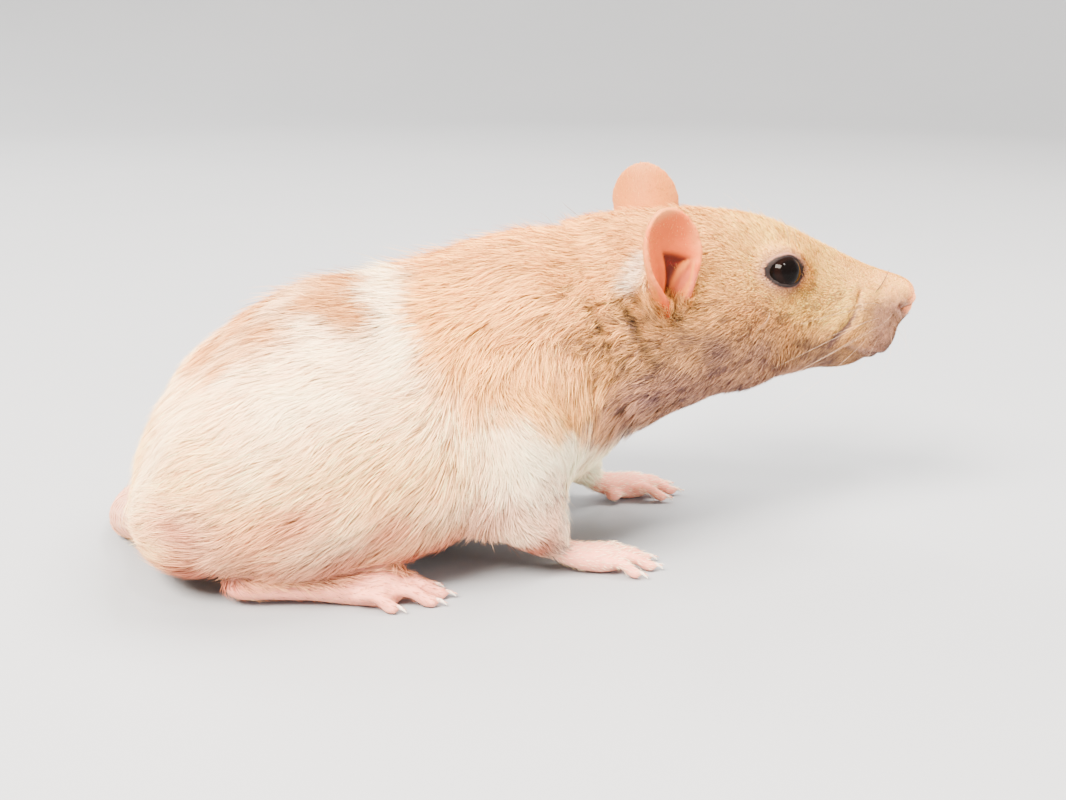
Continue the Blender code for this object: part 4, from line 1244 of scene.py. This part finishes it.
whiskers = {
    "foremost": (60.6, 4.2, 39.4),    # the first of the top row
    "rowLength": (6.0, 2.6, 1.0),     # how far a row runs back, out and down
    "rowStep": 1.65,      # mm from row to row
    "rows": 4,
    "perRow": 4,
    "shortest": 7.0,
    "longest": 23.0,
    "thick": 0.036,       # mm at the root
    "browThick": 0.068,
    "points": 9,
    "brow": (    # place and length
        ((40.5, 6.9, 50.4), 8.0), ((42.0, 6.6, 49.8), 6.5),
        ((38.5, 7.0, 50.8), 7.0), ((36.0, 11.5, 40.0), 7.0),
    ),
    "snout": ((55.8, -4.9, 40.8), (59.6, -1.2, 43.4)),
    "tip": 0.006,
}
whiskerShare = np.linspace(0, 1, whiskers["points"])


def bentLine(spot, way, length, bendWay, bend):
    # Points of a hair that starts one way and bends another
    share = whiskerShare[:, None]
    return spot + share * length * way + share**2 * length * bend * np.array(bendWay)


def makeWhiskers(finish):
    # Rows of whiskers on each pad, swept back, with a few hairs over each eye
    rng = np.random.default_rng(31)
    lines, radii = [], []
    taper = (1 - whiskerShare) ** 0.8
    (x, y, z), (run, out, drop) = whiskers["foremost"], whiskers["rowLength"]
    for side in bothSides:
        for row, k in np.ndindex(whiskers["rows"], whiskers["perRow"]):
            back = k / (whiskers["perRow"] - 1)
            aside = (y + out * back) * side
            spot = np.array((x - run * back, aside, z - whiskers["rowStep"] * row - drop * back))
            spot, up = onSkin(spot[None] + rng.normal(0, 0.15, (1, 3)))
            longer = (whiskers["longest"] - whiskers["shortest"]) * back * rng.uniform(0.8, 1.0)
            way = unit(up[0] + (-0.45 - 0.5 * back, 0.0, 0.20 - 0.16 * row))
            bendWay = unit((-1.0, 0.12 * side, -0.35))
            lines.append(bentLine(spot[0], way, whiskers["shortest"] + longer, bendWay, 0.42))
            radii.append(whiskers["thick"] / 2 * (0.75 + 0.35 * back) * taper + whiskers["tip"])
        for place, length in whiskers["brow"]:
            spot, up = onSkin(np.array([place]) * (1, side, 1))
            way = unit(up[0] + (-0.5, 0.15 * side, 0.5 if place[2] > 45 else -0.1))
            lines.append(bentLine(spot[0], way, length, (-0.9, 0, -0.25), 0.5))
            radii.append(whiskers["browThick"] / 2 * taper + whiskers["tip"])
    placed("whiskers", threads("whisker", lines, radii, finish, whiskerShare), finish, "white_coat")


def makeSnoutHair(finish):
    # One dark hair lies up across the right side of the snout
    spots, ups = onSkin(np.linspace(*whiskers["snout"], whiskers["points"]))
    line = spots + ups * (0.1 + 0.9 * whiskerShare)[:, None]
    radii = 0.10 * (1 - whiskerShare) ** 0.5 + 0.015
    placed("snout_hair", threads("snoutHair", [line], [radii], finish, whiskerShare), finish, "fawn_coat")


def hairFinish(name, root, tip):
    finish = Finish(name)
    place = finish.stored("alongThread", out=2)
    tone = finish.mix("MIX", place.between(0.0, 0.6), root, tip)
    return finish.wear(Base_Color=tone, Roughness=0.3 + place * 0.15)


makeWhiskers(hairFinish("whiskerHair", (0.30, 0.18, 0.11, 1), (0.56, 0.38, 0.25, 1)))
makeSnoutHair(hairFinish("darkHair", (0.07, 0.035, 0.025, 1), (0.11, 0.055, 0.035, 1)))
say("whiskers set")

# Digits: turn, place across, start and reach. Feet: -1 if mirrored, place and turn in degrees
footPlaces = {
    "forepaw": {
        "scale": 1.06,
        "claw": 2.0,
        "digits": (
            (-0.42, -2.3, 6.4, 5.2), (-0.12, -0.85, 7.6, 6.4), (0.13, 0.85, 7.6, 6.2), (0.42, 2.3, 6.4, 5.0),
        ),
        "places": ((1, (1.9, -15.15), -4.0), (1, (13.9, 15.2), 5.0)),
    },
    "hindFoot": {
        "scale": 1.0,
        "claw": 2.3,
        "digits": (
            (0.34, 3.0, 17.6, 6.4), (0.13, 1.9, 21.6, 8.0), (0.0, 0.0, 22.3, 8.6),
            (-0.13, -1.9, 21.4, 7.8), (-0.36, -3.0, 16.4, 5.4),
        ),
        "places": ((-1, (-48.0, -18.6), -7.0), (1, (-46.0, 18.6), 8.0)),
    },
}


clawSizes = {"height": 1.02, "arch": 0.42, "drop": 0.95, "radius": 0.40, "tip": 0.03, "rows": 8, "sides": 8}


def heading(turn):
    return np.array((math.cos(turn), math.sin(turn)))


def makeClaws(finish):
    # A curved tapered claw on every digit
    share = np.linspace(0, 1, clawSizes["rows"])
    height = clawSizes["height"] + clawSizes["arch"] * np.sin(share * 2.3) - clawSizes["drop"] * share**2
    lines, radii = [], []
    for foot in footPlaces.values():
        for flip, place, turn in foot["places"]:
            turn = math.radians(turn)
            for toeTurn, offset, start, reach in foot["digits"]:
                local = np.array((start, offset * flip)) + reach * heading(toeTurn * flip)
                tip = local[0] * heading(turn) + local[1] * heading(turn + math.pi / 2)
                reachOut = (share - 0.35)[:, None] * foot["claw"] * heading(turn + toeTurn * flip)
                lines.append(np.column_stack([np.array(place) + foot["scale"] * tip + reachOut, height]))
                radii.append(clawSizes["radius"] * (1 - share**1.6) ** 0.8 + clawSizes["tip"])
    tubes = threads("claw", lines, radii, finish, share, sides=clawSizes["sides"])
    placed("claws", tubes, finish, "pink_skin")


def clawFinish():
    finish = Finish("clawHorn")
    place = finish.stored("alongThread", out=2)
    tone = finish.mix("MIX", place.between(0.2, 0.8), (0.72, 0.42, 0.34, 1), (0.86, 0.76, 0.64, 1))
    tone = finish.mix("MULTIPLY", 0.3, tone, finish.noise(0.3) * 0.5 + 0.75)
    return finish.wear(Base_Color=tone, Roughness=0.28 + place * 0.1)


makeClaws(clawFinish())
say("claws set")

# The tail's scales: raised rings along its line, from the root on
tailLine = (
    (-56.5, 0.8, 8.0), (-62.4, 3.6, 6.0), (-66.2, 10.2, 4.6), (-66.2, 19.2, 3.8), (-61.6, 27.6, 3.4),
    (-53.0, 33.4, 3.0), (-42.0, 36.6, 2.6), (-30.0, 38.0, 2.3), (-17.0, 38.8, 2.0), (-4.0, 40.6, 1.7),
    (9.0, 44.0, 1.4), (20.0, 49.6, 1.1), (29.0, 57.0, 0.8),
)
tailSizes = {
    "rootRadius": 4.0,
    "tipRadius": 0.75,
    "sink": 0.21,         # how far its round underside is below the floor, where it is flat
    "flatFrom": 0.12,     # share of its length from which it lies on the floor
    "covered": 0.055,     # share of its length that the coat of the rump hides
    "ringed": 0.985,
    "lowest": 0.03,       # no ring goes lower, in mm
}
ringSizes = {
    "Spacing": 0.92 * mm,   # from ring to ring
    "Height": 0.045,        # half a ring's thickness, as a share of the tail's radius there
    "Seat": 0.968,          # a ring's own radius, as a share of the tail's
    "Sides": 18,
    "Edges": 4,
}


def smoothLine(line, steps):
    # Points of a curve through the line's points
    line = np.asarray(line, float)
    padded = np.concatenate([line[:1], line, line[-1:]])
    t = (np.arange(steps) / steps)[:, None]
    parts = []
    for a, b, c, d in zip(padded, padded[1:], padded[2:], padded[3:]):
        square, cube = 2 * a - 5 * b + 4 * c - d, 3 * b - a - 3 * c + d
        parts.append(0.5 * (2 * b + (c - a) * t + square * t**2 + cube * t**3))
    return np.concatenate([*parts, line[-1:]])


def tailPath():
    # The middle of the tail with its radius, from where it leaves the coat
    points = smoothLine(tailLine, 12)
    gone = np.concatenate([[0.0], np.cumsum(sizeOf(np.diff(points, axis=0)))])
    share = gone / gone[-1]
    extra = (tailSizes["rootRadius"] - tailSizes["tipRadius"]) * (1 - share) ** 1.25
    radius = tailSizes["tipRadius"] + extra
    low = share > tailSizes["flatFrom"]
    points[low, 2] = radius[low] - tailSizes["sink"]
    keep = (share > tailSizes["covered"]) & (share < tailSizes["ringed"])
    return points[keep], radius[keep]


def makeTailRings(finish):
    # Rings of one shape along the tail, each scaled to its girth there
    points, radius = tailPath()
    tree = Tree("tailRings", **ringSizes)
    given = tree.given
    path = tree.node("MeshToCurve", {"Mesh": given["Geometry"]})[0]
    even = tree.node("ResampleCurve", {"Curve": path, "Length": given["Spacing"]}, {"mode": "LENGTH"})[0]
    around = tree.node("CurvePrimitiveCircle", {"Resolution": given["Sides"], "Radius": given["Seat"]})[0]
    section = tree.node("CurvePrimitiveCircle", {"Resolution": given["Edges"], "Radius": given["Height"]})[0]
    ring = tree.node("CurveToMesh", {"Curve": around, "Profile Curve": section})[0]
    tangent = {"Vector": tree.node("InputTangent", {})[0]}
    turn = tree.node("FunctionNodeAlignRotationToVector", tangent, {"axis": "Z"})[0]
    links = {"Points": even, "Instance": ring, "Rotation": turn, "Scale": tree.girth()}
    rings = tree.node("InstanceOnPoints", links)[0]
    edges = [(i, i + 1) for i in range(len(points) - 1)]
    mesh = tree.grow(points, edges, rings, finish, girth=radius * mm)
    for vertex in mesh.vertices:
        vertex.co.z = max(vertex.co.z, tailSizes["lowest"] * mm)
    placed("tail_rings", mesh, finish, "tail_skin")
    say("tail rings: %d faces" % len(mesh.polygons))


def ringFinish():
    finish = Finish("tailScale")
    patch = finish.noise(1.1, detail=4.0)
    tone = finish.mix("MIX", patch, (0.50, 0.26, 0.175, 1), (0.68, 0.40, 0.29, 1))
    tone = finish.mix("MIX", finish.noise(7.0) * 0.5, tone, (0.60, 0.25, 0.18, 1))
    normal = finish.bumps(finish.noise(0.25), 0.3, 0.03)
    return finish.wear(Base_Color=tone, Roughness=0.5 + patch * 0.2, Normal=normal, Specular_IOR_Level=0.2)


makeTailRings(ringFinish())

camera = {
    "target": (0.0, 0.0, 24.0),    # mm in the rat's frame
    "distance": 240.0,
    "elevation": 17.0,
    "azimuth": -10.0,
    "pixels": 1464.0,     # focal length in the photograph's pixels
    "frame": 1066.0,      # its width in them
    "sensor": 36.0,
}


def aimed(name, data, place, back):
    # An object at a place, looking away from back
    obj = added(bpy.data.objects.new(name, data))
    obj.location = place
    obj.rotation_mode = "QUATERNION"
    obj.rotation_quaternion = (-back).to_track_quat("-Z", "Y")
    return obj


def addCamera():
    turn, rise = math.radians(camera["azimuth"]), math.radians(camera["elevation"])
    back = Vector((math.sin(turn) * math.cos(rise), -math.cos(turn) * math.cos(rise), math.sin(rise)))
    data = bpy.data.cameras.new("camera")
    data.sensor_width = camera["sensor"]
    data.lens = camera["pixels"] / camera["frame"] * camera["sensor"]
    data.clip_start, data.clip_end = 0.01, 10.0
    place = toPart(np.array(camera["target"]) + camera["distance"] * np.array(back))
    bpy.context.scene.camera = aimed("camera", data, place, back)


floorSizes = {"middle": 0.2, "flat": 0.62, "curve": 0.38, "wall": 0.55, "sides": 128, "steps": 16}    # m


def addStage():
    # A pale floor that turns up into a low round wall
    finish = Finish("paleFloor")
    tone = finish.mix("MIX", finish.noise(160.0, detail=5.0), (0.245, 0.27, 0.305, 1), (0.28, 0.30, 0.335, 1))
    flat, curve, count = floorSizes["flat"], floorSizes["curve"], floorSizes["sides"]
    profile = [(floorSizes["middle"], 0.0), (flat, 0.0)]
    for i in range(1, floorSizes["steps"] + 1):
        angle = math.pi / 2 * i / floorSizes["steps"]
        profile.append((flat + curve * math.sin(angle), curve * (1 - math.cos(angle))))
    profile.append((flat + curve, floorSizes["wall"]))
    points = [(0.0, 0.0, 0.0)]
    for reach, z in profile:
        points += [(*(reach * heading(math.tau * k / count)), z) for k in range(count)]
    faces = []
    for k in range(count):
        after = (k + 1) % count
        faces.append((0, 1 + k, 1 + after))
        for row in range(1, 1 + (len(profile) - 1) * count, count):
            faces.append((row + k, row + count + k, row + count + after, row + after))
    mesh = bpy.data.meshes.new("floor")
    mesh.from_pydata(points, [], faces)
    for face in mesh.polygons:
        face.use_smooth = True
    mesh.materials.append(finish.wear(Base_Color=tone, Roughness=0.66 + finish.noise(24.0) * 0.14))
    added(bpy.data.objects.new("floor", mesh))


lights = {    # place, aim, size, watts, colour, and whether it shows in the gloss
    "key": ((-0.40, -0.38, 0.60), (0, 0, 0.03), (0.36, 0.30), 50.0, (1.0, 0.87, 0.73), True),
    "fill": ((0.6, -0.5, 0.25), (0, 0, 0.03), (0.5, 0.4), 8.0, (1.0, 0.90, 0.80), False),
    "top": ((0.26, 0.02, 0.60), (0, 0, 0.03), (0.40, 0.30), 20.0, (1.0, 0.89, 0.77), False),
    "behind": ((-0.35, 0.50, 0.45), (-0.01, 0, 0.03), (0.5, 0.4), 12.0, (1.0, 0.93, 0.84), False),
    "sideWindow": ((0.035, 0.30, 0.52), (0.03, 0, 0.04), (0.07, 0.10), 1.5, (1.0, 0.93, 0.86), True),
    "window": ((0.035, -0.28, 0.57), (0.03, 0, 0.04), (0.07, 0.10), 2.8, (1.0, 0.93, 0.86), True),
}
sky = {"Color": (1.0, 0.92, 0.82, 1), "Strength": 0.52}


def addLights():
    world = bpy.data.worlds.new("studio")
    world.use_nodes = True
    for key, value in sky.items():
        world.node_tree.nodes["Background"].inputs[key].default_value = value
    bpy.context.scene.world = world
    for name, (place, aim, size, watts, colour, glossy) in lights.items():
        data = bpy.data.lights.new(name, "AREA")
        data.shape = "RECTANGLE"
        data.size, data.size_y = size
        data.energy, data.color = watts, colour
        aimed(name, data, place, Vector(place) - Vector(aim)).visible_glossy = glossy


addCamera()
addStage()
addLights()
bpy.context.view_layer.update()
say("done")
